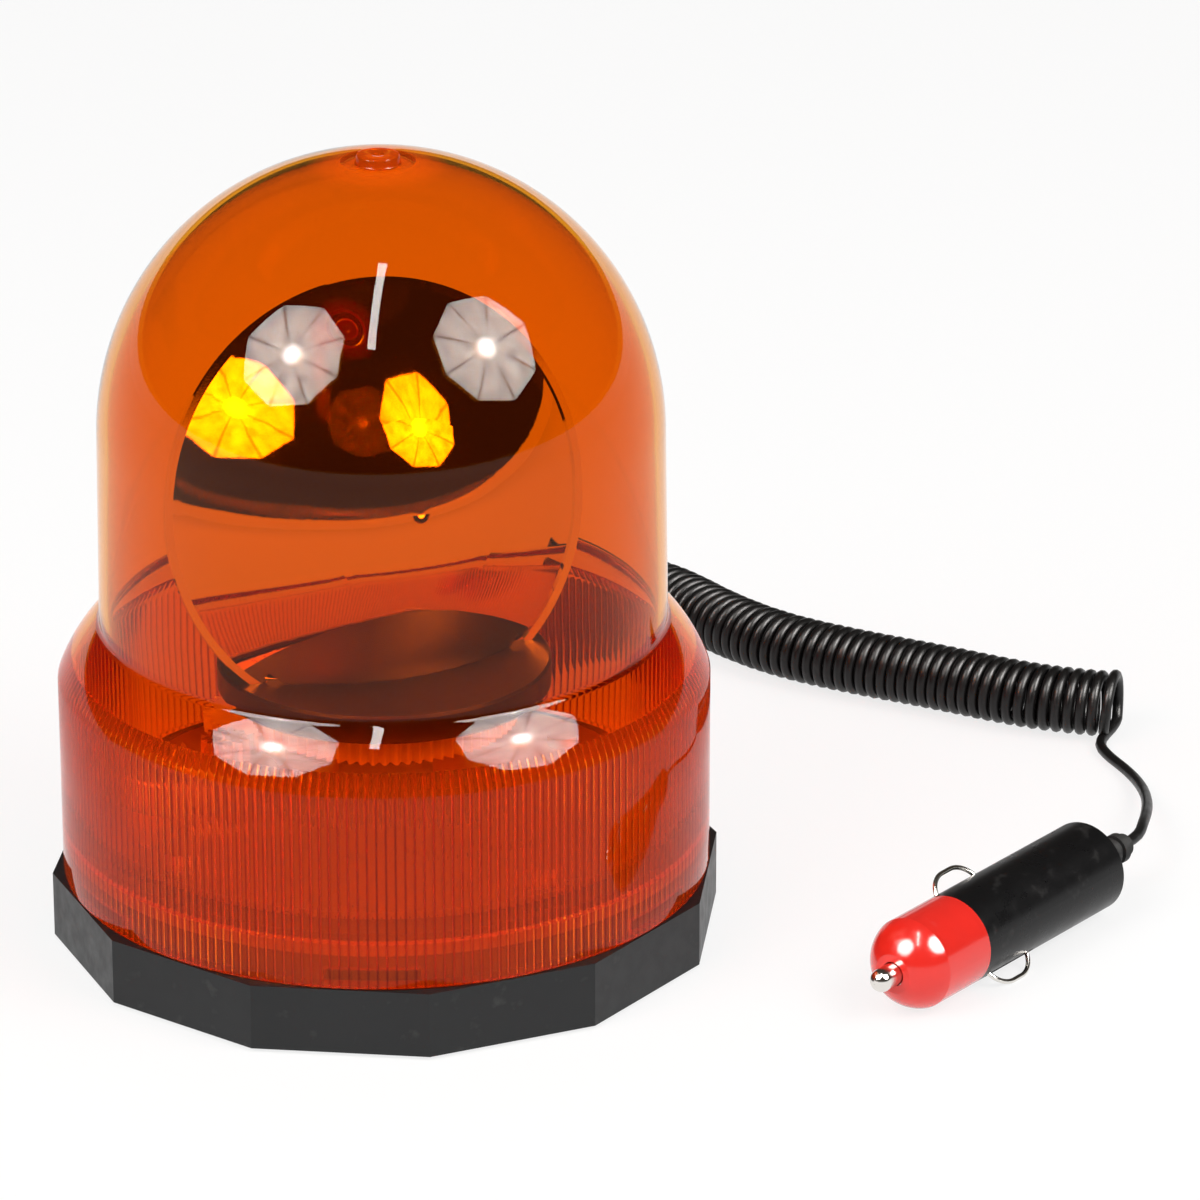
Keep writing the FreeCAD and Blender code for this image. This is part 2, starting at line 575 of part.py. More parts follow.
def build_magnet():
    """Rubber boot, steel cup, ring magnet and the screw that holds them to the floor."""
    turned("magnet_boot", [
        ("boot_hole_r", "0"), ("boot_r", "0"), ("boot_r", "floor_bottom - cup_wall"),
        ("boot_r - boot_wall", "floor_bottom - cup_wall"), ("boot_r - boot_wall", "boot_thick"),
        ("boot_hole_r", "boot_thick")])
    cup_r = "(boot_r - boot_wall - touch_gap)"
    turned("magnet_cup", [
        (f"{cup_r} - cup_wall", "boot_thick"), (cup_r, "boot_thick"), (cup_r, "floor_bottom"),
        ("magnet_screw_r + screw_gap", "floor_bottom"),
        ("magnet_screw_r + screw_gap", "floor_bottom - cup_wall"),
        (f"{cup_r} - cup_wall", "floor_bottom - cup_wall")])
    turned("magnet_ring", ring_corners(
        "magnet_bore_r", f"{cup_r} - cup_wall - magnet_gap", "boot_thick", "floor_bottom - cup_wall"))
    head_z = "(floor_bottom - cup_wall)"
    turned("magnet_screw", [
        ("0", f"{head_z} - magnet_head_thick"), ("magnet_head_r - edge", f"{head_z} - magnet_head_thick"),
        ("magnet_head_r", f"{head_z} - magnet_head_thick + edge"), ("magnet_head_r", head_z),
        ("magnet_screw_r", head_z), ("magnet_screw_r", "floor_bottom + magnet_grip"),
        ("0", "floor_bottom + magnet_grip")])


def build_lens():
    """Amber lens: upright band, rounded shoulder, domed top with a nub, and bayonet lugs."""
    shoulder_r = "((shoulder_in^2 + shoulder_rise^2) / (2 * shoulder_in))"
    bore_rise = "(shoulder_rise - lens_wall / 2)"
    bore_r = f"((shoulder_in^2 + {bore_rise}^2) / (2 * shoulder_in))"
    inner_dome_r = f"({DOME_R} - lens_wall)"
    groove_z = f"({DOME_Z} + sqrt({DOME_R}^2 - nub_groove_r^2))"
    groove_floor = f"({groove_z} - nub_groove_depth)"
    nub_top = f"({DOME_Z} + {DOME_R} + nub_rise)"
    dimple_floor = f"({nub_top} - nub_dimple_depth)"
    lens = turned("lens_dome", [
        (SKIRT_BORE, LENS_BOTTOM), (BAND_R, LENS_BOTTOM),
        (BAND_R, "band_top", (f"{BAND_R} - {shoulder_r}", "band_top"), 1),
        (CREASE_R, CREASE_Z), (DOME_R, DOME_Z, ("0", DOME_Z), 1),
        ("nub_groove_r", groove_z), ("nub_groove_r - nub_groove_depth", groove_floor),
        ("nub_r + edge", groove_floor), ("nub_r", f"{nub_top} - edge / 2"), ("nub_r - edge", nub_top),
        ("nub_dimple_r", nub_top), ("nub_dimple_r - edge", dimple_floor), ("0", dimple_floor),
        ("0", f"{DOME_Z} + {inner_dome_r}", ("0", DOME_Z), -1),
        (inner_dome_r, DOME_Z),
        (f"{CREASE_R} - lens_wall", f"band_top + {bore_rise}", (f"{BAND_BORE} - {bore_r}", "band_top"), -1),
        (BAND_BORE, "band_top"), (BAND_BORE, "skirt_top"), (SKIRT_BORE, "skirt_top")])
    lug = sketch_on(lens, height=LENS_LUG_BOTTOM)
    outline(lug, sector(f"({SPIGOT_R} + lug_gap)", f"({SKIRT_BORE} + root)", "lug_turn", "lens_lug_span"))
    lugs = pad(lens, lug, "lens_lug_thick")
    round_pattern(lens, [lugs], "lug_count")
    gasket_z = f"({BASE_LUG_BOTTOM} + base_lug_thick)"
    turned("lens_gasket", ring_corners(
        f"{SPIGOT_R} + touch_gap", f"{BAND_BORE} - gasket_gap", gasket_z, f"{gasket_z} + gasket_thick"))


# --- chassis, lamp post and lamp -----------------------------------------------------------

IDLER_R = "(gear_module * (ring_teeth + idler_teeth) / 2 + gear_slack)"
IDLER_X = f"({IDLER_R} * cos(idler_turn))"
IDLER_Y = f"({IDLER_R} * sin(idler_turn))"
REACH = "(gear_module * (wheel_teeth + pinion_teeth) / 2 + gear_slack)"
MOTOR_SWING = f"(acos(({IDLER_R}^2 + motor_pitch_r^2 - {REACH}^2) / (2 * {IDLER_R} * motor_pitch_r)) / 1 deg)"
MOTOR_TURN = f"(idler_turn + {MOTOR_SWING})"
MOTOR_X = f"(motor_pitch_r * cos({MOTOR_TURN}))"
MOTOR_Y = f"(motor_pitch_r * sin({MOTOR_TURN}))"


def build_chassis():
    """Plate on four pillars, with holes for the lamp post, the motor, the axle and the lead."""
    plate = new_body("chassis_plate")
    disc = sketch_on(plate, height=CHASSIS_Z)
    circles(disc, [
        ("0", "0", CHASSIS_R), ("0", "0", "post_tube_r + holder_gap"), ("0", POST_PITCH_R, "gland_hole_r"),
        (MOTOR_X, MOTOR_Y, "motor_r + motor_hole_gap"), (IDLER_X, IDLER_Y, "axle_r + touch_gap")])
    pad(plate, disc, "chassis_thick")
    hole = sketch_on(plate, height=CHASSIS_TOP)
    circles(hole, [(POST_X, POST_X, "chassis_screw_r + screw_gap")])
    holes = pocket(plate, hole, "chassis_thick + overcut")
    round_pattern(plate, [holes], "4")
    screws = []
    for index in range(4):
        spot = polar(size(POST_PITCH_R), 45 + 90 * index, size(CHASSIS_TOP))
        screws.append(screw_at(
            spot, size("chassis_head_r"), size("chassis_head_thick"), size("chassis_screw_r"),
            size("chassis_thick + chassis_grip")))
    solid_node("chassis_screws", Part.makeCompound(screws))


def build_lamp():
    """Hollow lamp post, holder with pin slots, insulated contact and a bayonet lamp."""
    post_low = f"({CHASSIS_Z} - post_flange_thick)"
    turned("lamp_post", [
        ("post_bore_r", post_low), ("post_tube_r", post_low), ("post_tube_r", CHASSIS_TOP),
        ("post_flange_r", CHASSIS_TOP), ("post_flange_r", POST_FOOT_TOP), ("post_tube_r", POST_FOOT_TOP),
        ("post_tube_r", POST_TOP), ("post_bore_r", POST_TOP)])
    sleeve_r = "(post_tube_r + holder_gap)"
    holder = turned("lamp_holder", [
        (sleeve_r, HOLDER_FOOT), (f"{sleeve_r} + holder_wall", HOLDER_FOOT),
        (f"{sleeve_r} + holder_wall", f"{POST_TOP} - holder_wall"), (HOLDER_R, POST_TOP),
        (HOLDER_R, HOLDER_TOP), (HOLDER_BORE, HOLDER_TOP), (HOLDER_BORE, HOLDER_FLOOR),
        ("post_bore_r", HOLDER_FLOOR), ("post_bore_r", POST_TOP), (sleeve_r, POST_TOP)])
    slot = sketch_on(holder, height=HOLDER_TOP)
    half_slot = "(pin_r + pin_gap)"
    reach = f"({HOLDER_R} + overcut)"
    outline(slot, [
        (f"-{reach}", f"-{half_slot}"), (reach, f"-{half_slot}"),
        (reach, half_slot), (f"-{reach}", half_slot)])
    pocket(holder, slot, f"{HOLDER_TOP} - {PIN_Z} + {half_slot}")
    turned("holder_insulator", ring_corners(
        "contact_r + touch_gap", f"{HOLDER_BORE} - touch_gap", HOLDER_FLOOR, INSULATOR_TOP))
    contact_foot = f"({HOLDER_FLOOR} - contact_tail)"
    turned("centre_contact", [
        ("0", contact_foot), ("contact_r - edge", contact_foot), ("contact_r - edge", HOLDER_FLOOR),
        ("contact_r", HOLDER_FLOOR), ("contact_r", f"{CONTACT_TOP} - edge"),
        ("contact_r - edge", CONTACT_TOP), ("0", CONTACT_TOP)])
    cap = turned("lamp_cap", [
        ("0", CONTACT_TOP), ("cap_nib_r - cap_nib", CONTACT_TOP), ("cap_nib_r", CAP_BOTTOM),
        ("lamp_cap_r", CAP_BOTTOM), ("lamp_cap_r", CAP_TOP), ("0", CAP_TOP)])
    pin = sketch_on(cap, "YZ_Plane", f"-{PIN_REACH}")
    circles(pin, [("0", PIN_Z, "pin_r")])
    pad(cap, pin, f"2 * {PIN_REACH}")
    neck_r = "(lamp_cap_r - neck_in)"
    inner_neck = f"({neck_r} - globe_wall)"
    globe_in = "(globe_r - globe_wall)"
    foot_top = f"({CAP_TOP} + globe_foot)"
    join = f"({FOCUS_Z} - sqrt(globe_r^2 - {neck_r}^2))"
    inner_join = f"({FOCUS_Z} - sqrt({globe_in}^2 - {inner_neck}^2))"
    turned("lamp_glass", [
        ("0", CAP_TOP), (neck_r, CAP_TOP), (neck_r, join, ("0", FOCUS_Z), 1),
        ("0", f"{FOCUS_Z} + globe_r"), ("0", f"{FOCUS_Z} + {globe_in}", ("0", FOCUS_Z), -1),
        (inner_neck, inner_join), (inner_neck, foot_top), ("0", foot_top)])
    wire_r, half = size("filament_r"), size("filament_span")
    low, level = size(f"{foot_top} + touch_gap"), size(FOCUS_Z)
    wires = [Part.makeCylinder(wire_r, level - low, Vector(0, side * half, low)) for side in (-1, 1)]
    coil = Part.makeCylinder(2 * wire_r, 2 * half, Vector(0, -half, level), Vector(0, 1, 0))
    solid_node("lamp_filament", coil.fuse(wires).removeSplitter())


# --- gears, motor and turntable ------------------------------------------------------------

FLANK_STEPS = 3
WEB_HOLES = 6
ROOT_DEPTH = 1.25
JOIN_SHARE = 0.42
BRACKET_TURN = f"({MOTOR_TURN} + bracket_turn)"
REFLECTOR_HEADING = "(reflector_turn - 90)"


def gear_blank(teeth, phase, bottom, face, bore):
    """A spur gear with involute flanks, one tooth centred at the phase angle."""
    module = size("gear_module")
    pressure = math.radians(size("gear_pressure"))
    pitch_r = module * teeth / 2
    base_r = pitch_r * math.cos(pressure)
    tip_r = pitch_r + module
    root_r = pitch_r - ROOT_DEPTH * module
    start_r = max(base_r, root_r)

    def half_angle(radius):
        roll = math.acos(min(1.0, base_r / radius))
        spread = (math.tan(pressure) - pressure) - (math.tan(roll) - roll)
        return math.degrees(math.pi / (2 * teeth) + spread)

    flank = [(start_r + (tip_r - start_r) * step / FLANK_STEPS) for step in range(FLANK_STEPS + 1)]
    rise = [(radius, half_angle(radius)) for radius in flank]
    if root_r < start_r:
        rise.insert(0, (root_r, rise[0][1]))
    points = []
    for tooth in range(teeth):
        middle = phase + tooth * FULL_TURN / teeth
        points += [polar(radius, middle - half, bottom) for radius, half in rise]
        points += [polar(radius, middle + half, bottom) for radius, half in reversed(rise)]
    points.append(points[0])
    blank = Part.Face(Part.makePolygon(points)).extrude(Vector(0, 0, face))
    return blank.cut(Part.makeCylinder(bore, 3 * face, Vector(0, 0, bottom - face)))


def build_gears():
    """Ring gear, compound idler on its axle, and the motor's pinion, all in mesh."""
    teeth = {name: int(size(name)) for name in ("ring_teeth", "wheel_teeth", "idler_teeth", "pinion_teeth")}
    first = size("idler_turn")
    ring_z, ring_face = size(RING_BOTTOM), size("ring_face")
    ring = gear_blank(teeth["ring_teeth"], first, ring_z, ring_face, size(f"{HUB_R} + press_gap"))
    web_in, web_out = size("collar_r + web_rim / 2"), size("gear_module * ring_teeth / 2 - web_rim")
    for index in range(WEB_HOLES):
        turn = first + (index + 0.5) * FULL_TURN / WEB_HOLES
        spot = polar((web_in + web_out) / 2, turn, ring_z - ring_face)
        ring = ring.cut(Part.makeCylinder((web_out - web_in) / 2, 3 * ring_face, spot))
    solid_node("ring_gear", ring)

    spot = Vector(size(IDLER_X), size(IDLER_Y), 0)
    motor_spot = Vector(size(MOTOR_X), size(MOTOR_Y), 0)
    second = math.degrees(math.atan2(motor_spot.y - spot.y, motor_spot.x - spot.x))
    wheel_z, idler_top = size(WHEEL_BOTTOM), size(IDLER_TOP)
    bore = size("axle_r + bearing_gap")
    wheel = gear_blank(teeth["wheel_teeth"], second, wheel_z, size("wheel_face"), bore)
    idler_phase = first + 180 + 180 / teeth["idler_teeth"]
    small = gear_blank(teeth["idler_teeth"], idler_phase, wheel_z, idler_top - wheel_z, bore)
    idler = solid_node("idler_gear", wheel.fuse(small).removeSplitter())
    idler.Placement = Placement(spot, Rotation())

    pinion_phase = second + 180 + 180 / teeth["pinion_teeth"]
    small = gear_blank(
        teeth["pinion_teeth"], pinion_phase, size(PINION_Z), size("pinion_face"), size("shaft_r + press_gap"))
    pinion = solid_node("motor_pinion", small)
    pinion.Placement = Placement(motor_spot, Rotation())
    shaft = turned("motor_shaft", ring_corners(
        "0", "shaft_r", f"{MOTOR_TOP} - shaft_depth", f"{PINION_Z} + pinion_face + shaft_end"))
    place(shaft, MOTOR_X, MOTOR_Y)

    axle_low = f"({CHASSIS_Z} - axle_head_thick)"
    shoulder_top = f"({WHEEL_BOTTOM} - axle_play)"
    axle = turned("idler_axle", [
        ("0", axle_low), ("axle_head_r", axle_low), ("axle_head_r", CHASSIS_Z), ("axle_r", CHASSIS_Z),
        ("axle_r", CHASSIS_TOP), ("axle_shoulder_r", CHASSIS_TOP), ("axle_shoulder_r", shoulder_top),
        ("axle_r", shoulder_top), ("axle_r", AXLE_TOP), ("0", AXLE_TOP)])
    place(axle, IDLER_X, IDLER_Y)
    clip = turned("idler_clip", ring_corners(
        "axle_r + press_gap", "clip_r", CLIP_Z, f"{CLIP_Z} + clip_thick"))
    place(clip, IDLER_X, IDLER_Y)


def build_motor():
    """Can motor through the chassis plate, hung from a sheet bracket with screws."""
    well = f"({MOTOR_TOP} - shaft_depth - shaft_room)"
    can = turned("motor_can", [
        ("0", MOTOR_BOTTOM), ("motor_r", MOTOR_BOTTOM),
        ("motor_r", f"{MOTOR_TOP} - motor_edge", ("motor_r - motor_edge", f"{MOTOR_TOP} - motor_edge"), 1),
        ("motor_r - motor_edge", MOTOR_TOP), ("motor_boss_r", MOTOR_TOP), ("motor_boss_r", MOTOR_BOSS_TOP),
        ("shaft_r + shaft_gap", MOTOR_BOSS_TOP), ("shaft_r + shaft_gap", well), ("0", well)])
    place(can, MOTOR_X, MOTOR_Y)
    cap = new_body("motor_end_cap")
    disc = sketch_on(cap, height=f"{MOTOR_BOTTOM} - motor_cap_thick")
    circles(disc, [("0", "0", "motor_r - motor_edge")])
    pad(cap, disc, "motor_cap_thick")
    place(cap, MOTOR_X, MOTOR_Y)

    bracket = new_body("motor_bracket")
    arch = sketch_on(bracket, "XZ_Plane", "-bracket_width / 2")
    leg_out = "(bracket_reach + bracket_thick)"
    foot_out = f"({leg_out} + bracket_foot)"
    low = f"({CHASSIS_TOP} + bracket_thick)"
    top = f"({MOTOR_TOP} + bracket_thick)"
    outline(arch, [
        (f"-{foot_out}", CHASSIS_TOP), ("-bracket_reach", CHASSIS_TOP), ("-bracket_reach", MOTOR_TOP),
        ("bracket_reach", MOTOR_TOP), ("bracket_reach", CHASSIS_TOP), (foot_out, CHASSIS_TOP),
        (foot_out, low), (leg_out, low), (leg_out, top), (f"-{leg_out}", top),
        (f"-{leg_out}", low), (f"-{foot_out}", low)])
    pad(bracket, arch, "bracket_width")
    screw_hole = "small_screw_r + screw_gap"
    holes = sketch_on(bracket, height=top)
    circles(holes, [
        ("0", "0", "motor_boss_r + screw_gap"), ("motor_screw_out", "0", screw_hole),
        ("-motor_screw_out", "0", screw_hole)])
    pocket(bracket, holes, "bracket_thick + overcut")
    foot_mid = f"({leg_out} + bracket_foot / 2)"
    feet = sketch_on(bracket, height=low)
    circles(feet, [(foot_mid, "0", screw_hole), (f"-{foot_mid}", "0", screw_hole)])
    pocket(bracket, feet, "bracket_thick + overcut")
    bracket.Placement = Placement(Vector(), Rotation(Vector(0, 0, 1), size(BRACKET_TURN)))
    place(bracket, MOTOR_X, MOTOR_Y)

    middle = Vector(size(MOTOR_X), size(MOTOR_Y), 0)
    screws = []
    for out, height in (("motor_screw_out", top), (foot_mid, low)):
        for side in (-1, 1):
            spot = middle + polar(side * size(out), size(BRACKET_TURN), size(height))
            screws.append(screw_at(
                spot, size("small_head_r"), size("small_head_thick"), size("small_screw_r"),
                size("bracket_thick")))
    solid_node("motor_screws", Part.makeCompound(screws))


def reflector_frame():
    """Placement whose +Z is the reflector's axis and whose origin is its focus."""
    tilt = math.radians(size("reflector_tilt"))
    level = polar(math.cos(tilt), size(REFLECTOR_HEADING), math.sin(tilt))
    side = polar(1, size(REFLECTOR_HEADING) + 90, 0)
    return Placement(Vector(0, 0, size(FOCUS_Z)), Rotation(side, level.cross(side), level, "ZXY"))


def bowl(focal, reach, rim_z, top):
    """Solid from a rim plane up to two tangent arcs that follow a paraboloid to its vertex."""
    join_x = JOIN_SHARE * reach
    sag = join_x * join_x / (4 * focal)
    cap_r = (join_x * join_x + sag * sag) / (2 * sag)
    cap_turn = math.asin(join_x / cap_r)
    crown = Vector(0, 0, top - cap_r)
    vertex, foot = Vector(0, 0, top), Vector(0, 0, rim_z)
    join, end = Vector(join_x, 0, top - sag), Vector(reach, 0, rim_z)
    cap_middle = crown + Vector(math.sin(cap_turn / 2), 0, math.cos(cap_turn / 2)) * cap_r
    chord = end - join
    fall = math.atan2(-chord.z, chord.x)
    bulge = chord.Length / 2 * math.tan((fall - cap_turn) / 2)
    side_middle = (join + end) / 2 + Vector(math.sin(fall), 0, math.cos(fall)) * bulge
    edges = [
        Part.Arc(vertex, cap_middle, join).toShape(), Part.Arc(join, side_middle, end).toShape(),
        Part.makeLine(end, foot), Part.makeLine(foot, vertex)]
    return Part.Face(Part.Wire(edges)).revolve(Vector(), Vector(0, 0, 1), FULL_TURN)


def build_turntable():
    """Turntable with a long hub, the parabolic reflector on it, and its screws."""
    collar_z = f"({RING_BOTTOM} - collar_thick)"
    lip_r = "(table_r - table_lip_wall)"
    table = turned("turntable", [
        (HUB_BORE, HUB_BOTTOM), (HUB_R, HUB_BOTTOM), (HUB_R, collar_z), ("collar_r", collar_z),
        ("collar_r", RING_BOTTOM), (HUB_R, RING_BOTTOM), (HUB_R, TABLE_UNDER), (lip_r, TABLE_UNDER),
        (lip_r, f"{TABLE_UNDER} - table_lip"), ("table_r", f"{TABLE_UNDER} - table_lip"),
        ("table_r", f"{TABLE_TOP} - edge"), ("table_r - edge", TABLE_TOP), (HUB_BORE, TABLE_TOP)])
    screw_hole = "foot_screw_r + screw_gap"
    across, along = "foot_out * cos(reflector_turn)", "foot_out * sin(reflector_turn)"
    holes = sketch_on(table, height=TABLE_TOP)
    circles(holes, [(across, along, screw_hole), (f"-{across}", f"-{along}", screw_hole)])
    pocket(table, holes, "table_thick + overcut")

    focal, rim, wall = size("reflector_focal"), size("reflector_r"), size("reflector_wall")
    rim_z = focal - rim * rim / (4 * focal)
    outer_rim = math.sqrt(4 * focal * (focal + wall - rim_z))
    shell = bowl(focal, outer_rim, rim_z, focal + wall).cut(bowl(focal, rim, rim_z, focal))
    lip = Part.makeCylinder(outer_rim + size("rim_lip"), wall, Vector(0, 0, rim_z))
    dish = shell.fuse(lip.cut(Part.makeCylinder(rim, wall, Vector(0, 0, rim_z))))
    dish.Placement = reflector_frame()
    seat, half_span = size(f"{TABLE_TOP} + press_gap"), size(BAND_R)
    dish = dish.cut(Part.makeBox(2 * half_span, 2 * half_span, seat, Vector(-half_span, -half_span, 0)))
    thick = size("foot_thick")
    plate = Part.makeBox(
        size("foot_length"), size("foot_width"), thick,
        Vector(-size("foot_length") / 2, -size("foot_width") / 2, 0))
    plate = plate.cut(Part.makeCylinder(size(screw_hole), 3 * thick, Vector(0, 0, -thick)))
    feet, screws = [], []
    for side in (-1, 1):
        spot = polar(side * size("foot_out"), size(REFLECTOR_HEADING) + 90, seat)
        foot = plate.copy()
        foot.Placement = Placement(spot, Rotation(Vector(0, 0, 1), size(REFLECTOR_HEADING)))
        feet.append(foot)
        screws.append(screw_at(
            spot + Vector(0, 0, thick), size("foot_head_r"), size("foot_head_thick"), size("foot_screw_r"),
            size("foot_thick + table_thick")))
    solid_node("reflector", dish.fuse(feet).removeSplitter())
    solid_node("reflector_screws", Part.makeCompound(screws))


# --- lead and plug -------------------------------------------------------------------------

LEAD_POINTS = [
    (0, 81.94, 7.2), (0, 88.5, 7.2), (-1.6, 97, 5.0), (-6, 105.5, 2.6), (-12, 113, 1.55),
    (-18, 120.5, 1.45), (-21, 129, 1.45), (-20.5, 137.5, 1.45), (-17, 143.7, 1.45), (-11.5, 147.2, 1.45)]
COIL_POINTS = [
    (-11, 146, 8.15), (-10.5, 160, 8.15), (-2, 177, 8.15), (13, 187.5, 8.15), (31, 187.5, 8.15),
    (47, 177, 8.15), (60.5, 161.5, 8.15), (76, 149, 8.15), (95, 140.5, 8.15), (115, 133.5, 8.15),
    (134, 125.5, 8.15), (148, 122, 8.15), (159, 121, 8.15)]
TAIL_POINTS = [
    (156.4, 121.2, 1.45), (154.6, 113.2, 1.45), (157.4, 105.6, 1.45), (162.3, 97.2, 1.6), (165.6, 87.5, 2.6),
    (167.4, 76.5, 4.6), (168.2, 65, 7.2), (168.2, 54, 9.4), (167.7, 46.5, 10.5), (167.07, 39.04, 10.6),
    (163.86, 33.98, 10.6)]
ARC_SHARE = 0.45


def tube(name, points, radius):
    """A tube along straight runs joined by tangent arcs, as large as the runs allow."""
    spots = [Vector(*point) for point in points]
    edges, start, radii = [], spots[0], []
    for before, here, after in zip(spots, spots[1:], spots[2:]):
        arrive = (here - before).normalize()
        leave = (after - here).normalize()
        turn = arrive.getAngle(leave)
        cut = ARC_SHARE * min((here - before).Length, (after - here).Length)
        radii.append(cut / math.tan(turn / 2))
        enter, leave_at = here - arrive * cut, here + leave * cut
        bisector = (leave - arrive).normalize()
        centre = here + bisector * (radii[-1] / math.cos(turn / 2))
        middle = centre - bisector * radii[-1]
        edges += [Part.makeLine(start, enter), Part.Arc(enter, middle, leave_at).toShape()]
        start = leave_at
    edges.append(Part.makeLine(start, spots[-1]))
    path = Part.Wire(edges)
    ring = Part.Wire(Part.makeCircle(radius, spots[0], spots[1] - spots[0]))
    shape = path.makePipeShell([ring], True, False)
    expected = math.pi * radius * radius * path.Length
    print(f"{name}: length {path.Length:.1f}, least radius {min(radii):.1f}, "
          f"volume over section times length {shape.Volume / expected:.5f}")
    return shape


def build_cords():
    """Straight lead from the gland, the curly stretch as one fat tube, and the tail to the plug."""
    solid_node("cord_lead", tube("cord_lead", LEAD_POINTS, size("cord_r")))
    solid_node("cord_coil", tube("cord_coil", COIL_POINTS, size("coil_r")))
    solid_node("cord_tail", tube("cord_tail", TAIL_POINTS, size("cord_r")))
    gland_neck = "(gland_hole_r - touch_gap)"
    inner = "(base_wall + touch_gap)"
    gland = turned("cable_gland", [
        ("0", f"-{inner} - gland_flange_thick"), ("gland_flange_r - edge", f"-{inner} - gland_flange_thick"),
        ("gland_flange_r - edge", f"-{inner}"), (gland_neck, f"-{inner}"), (gland_neck, "touch_gap"),
        ("gland_flange_r", "touch_gap"), ("gland_flange_r", "gland_flange_thick"),
        ("gland_neck_r", "gland_flange_thick + edge"),
        ("gland_tip_r", "gland_length"), ("0", "gland_length")])
    gland.Placement = Placement(Vector(), Rotation(Vector(1, 0, 0), -90))
    place(gland, "0", BASE_FLAT, "lead_z")


def plug_rotation(roll=0.0):
    """Rotation that lays a plug piece's +Z along the plug, with its +X level and to the right."""
    heading = math.radians(size("plug_heading"))
    axis = Vector(math.cos(heading), math.sin(heading), 0)
    level = Vector(-math.sin(heading), math.cos(heading), 0)
    lay = Rotation(level, Vector(0, 0, 1), axis, "ZXY")
    return lay.multiply(Rotation(Vector(0, 0, 1), roll))


def lay_plug(item, roll=0.0):
    """Put a plug piece on the plug's axis."""
    item.Placement = Placement(Vector(), plug_rotation(roll))
    place(item, "plug_x", "plug_y", PLUG_Z)
    return item


WINDOW_TURN = "(180 + side_turn - seam_turn)"


def build_plug():
    """Two half shells, nose, sprung tip, bowed side contacts, fuse and strain relief."""
    bore = "(plug_r - plug_wall)"
    hole = "(relief_r + touch_gap)"
    slot_half = "(side_wire_r + side_slot_gap)"
    for label, turn in (("plug_upper_shell", 0), ("plug_lower_shell", 180)):
        half = turned(label, [
            (hole, "0"), ("plug_r - plug_edge", "0"), ("plug_r", "plug_edge"), ("plug_r", "plug_length"),
            (bore, "plug_length"), (bore, "plug_back"), (hole, "plug_back")], angle=180)
        window = sketch_on(half, "XZ_Plane")
        window.AttachmentOffset = Placement(Vector(), Rotation(Vector(0, 1, 0), 90 + size(WINDOW_TURN)))
        low = f"side_middle - side_length / 2 - {slot_half}"
        high = f"side_middle + side_length / 2 + {slot_half}"
        outline(window, [
            (f"-{slot_half}", low), (slot_half, low), (slot_half, high), (f"-{slot_half}", high)])
        pocket(half, window, "plug_r + overcut", Reversed=True)
        lay_plug(half, size("seam_turn") + turn)
    collar_end, nose_end = "(plug_length + nose_collar)", "(plug_length + nose_length)"
    dome_rise = "(nose_length - nose_collar)"
    dome_middle = f"({collar_end} + ({dome_rise}^2 + nose_face_r^2 - plug_r^2) / (2 * {dome_rise}))"
    tip_bore = "(tip_r + tip_gap)"
    chamber = "(tip_flange_r + tip_gap)"
    fuse_top = f"({nose_end} - tip_throat - tip_flange_thick - fuse_gap)"
    fuse_bore = "(fuse_r + tip_gap)"
    lay_plug(turned("plug_nose", [
        (fuse_bore, "plug_length - nose_spigot"), (f"{bore} - nose_gap", "plug_length - nose_spigot"),
        (f"{bore} - nose_gap", "plug_length"), ("plug_r", "plug_length"),
        ("plug_r", collar_end, ("0", dome_middle), 1), ("nose_face_r", nose_end), (tip_bore, nose_end), (tip_bore, f"{nose_end} - tip_throat"),
        (chamber, f"{nose_end} - tip_throat"), (chamber, fuse_top), (fuse_bore, fuse_top)]))
    flange_top = f"({nose_end} - tip_throat)"
    end = f"({nose_end} + tip_rise)"
    lay_plug(turned("plug_tip", [
        ("0", f"{flange_top} - tip_flange_thick"), ("tip_flange_r", f"{flange_top} - tip_flange_thick"),
        ("tip_flange_r", flange_top), ("tip_r", flange_top),
        ("tip_r", f"{end} - tip_r", ("0", f"{end} - tip_r"), 1), ("0", end)]))
    lay_plug(turned("plug_fuse", ring_corners("0", "fuse_r", f"{fuse_top} - fuse_length", fuse_top)))
    groove_r = "(relief_r - relief_step)"
    first_ring, second_ring = "-relief_length + relief_ring", "-relief_length + 2 * relief_ring"
    collar = "-relief_length + 2 * relief_ring + relief_groove"
    inside, flange_end = "plug_back + touch_gap", "plug_back + touch_gap + relief_groove"
    lay_plug(turned("plug_strain_relief", [
        ("0", "-relief_length"), (groove_r, "-relief_length"), (groove_r, first_ring),
        ("relief_r", first_ring), ("relief_r", second_ring), (groove_r, second_ring), (groove_r, collar),
        ("relief_r", collar), ("relief_r", inside), ("relief_flange_r", inside),
        ("relief_flange_r", flange_end), ("0", flange_end)]))

    for label, turn in (("plug_contact_left", 0), ("plug_contact_right", 180)):
        lay_plug(solid_node(label, side_contact()), size("side_turn") + turn)


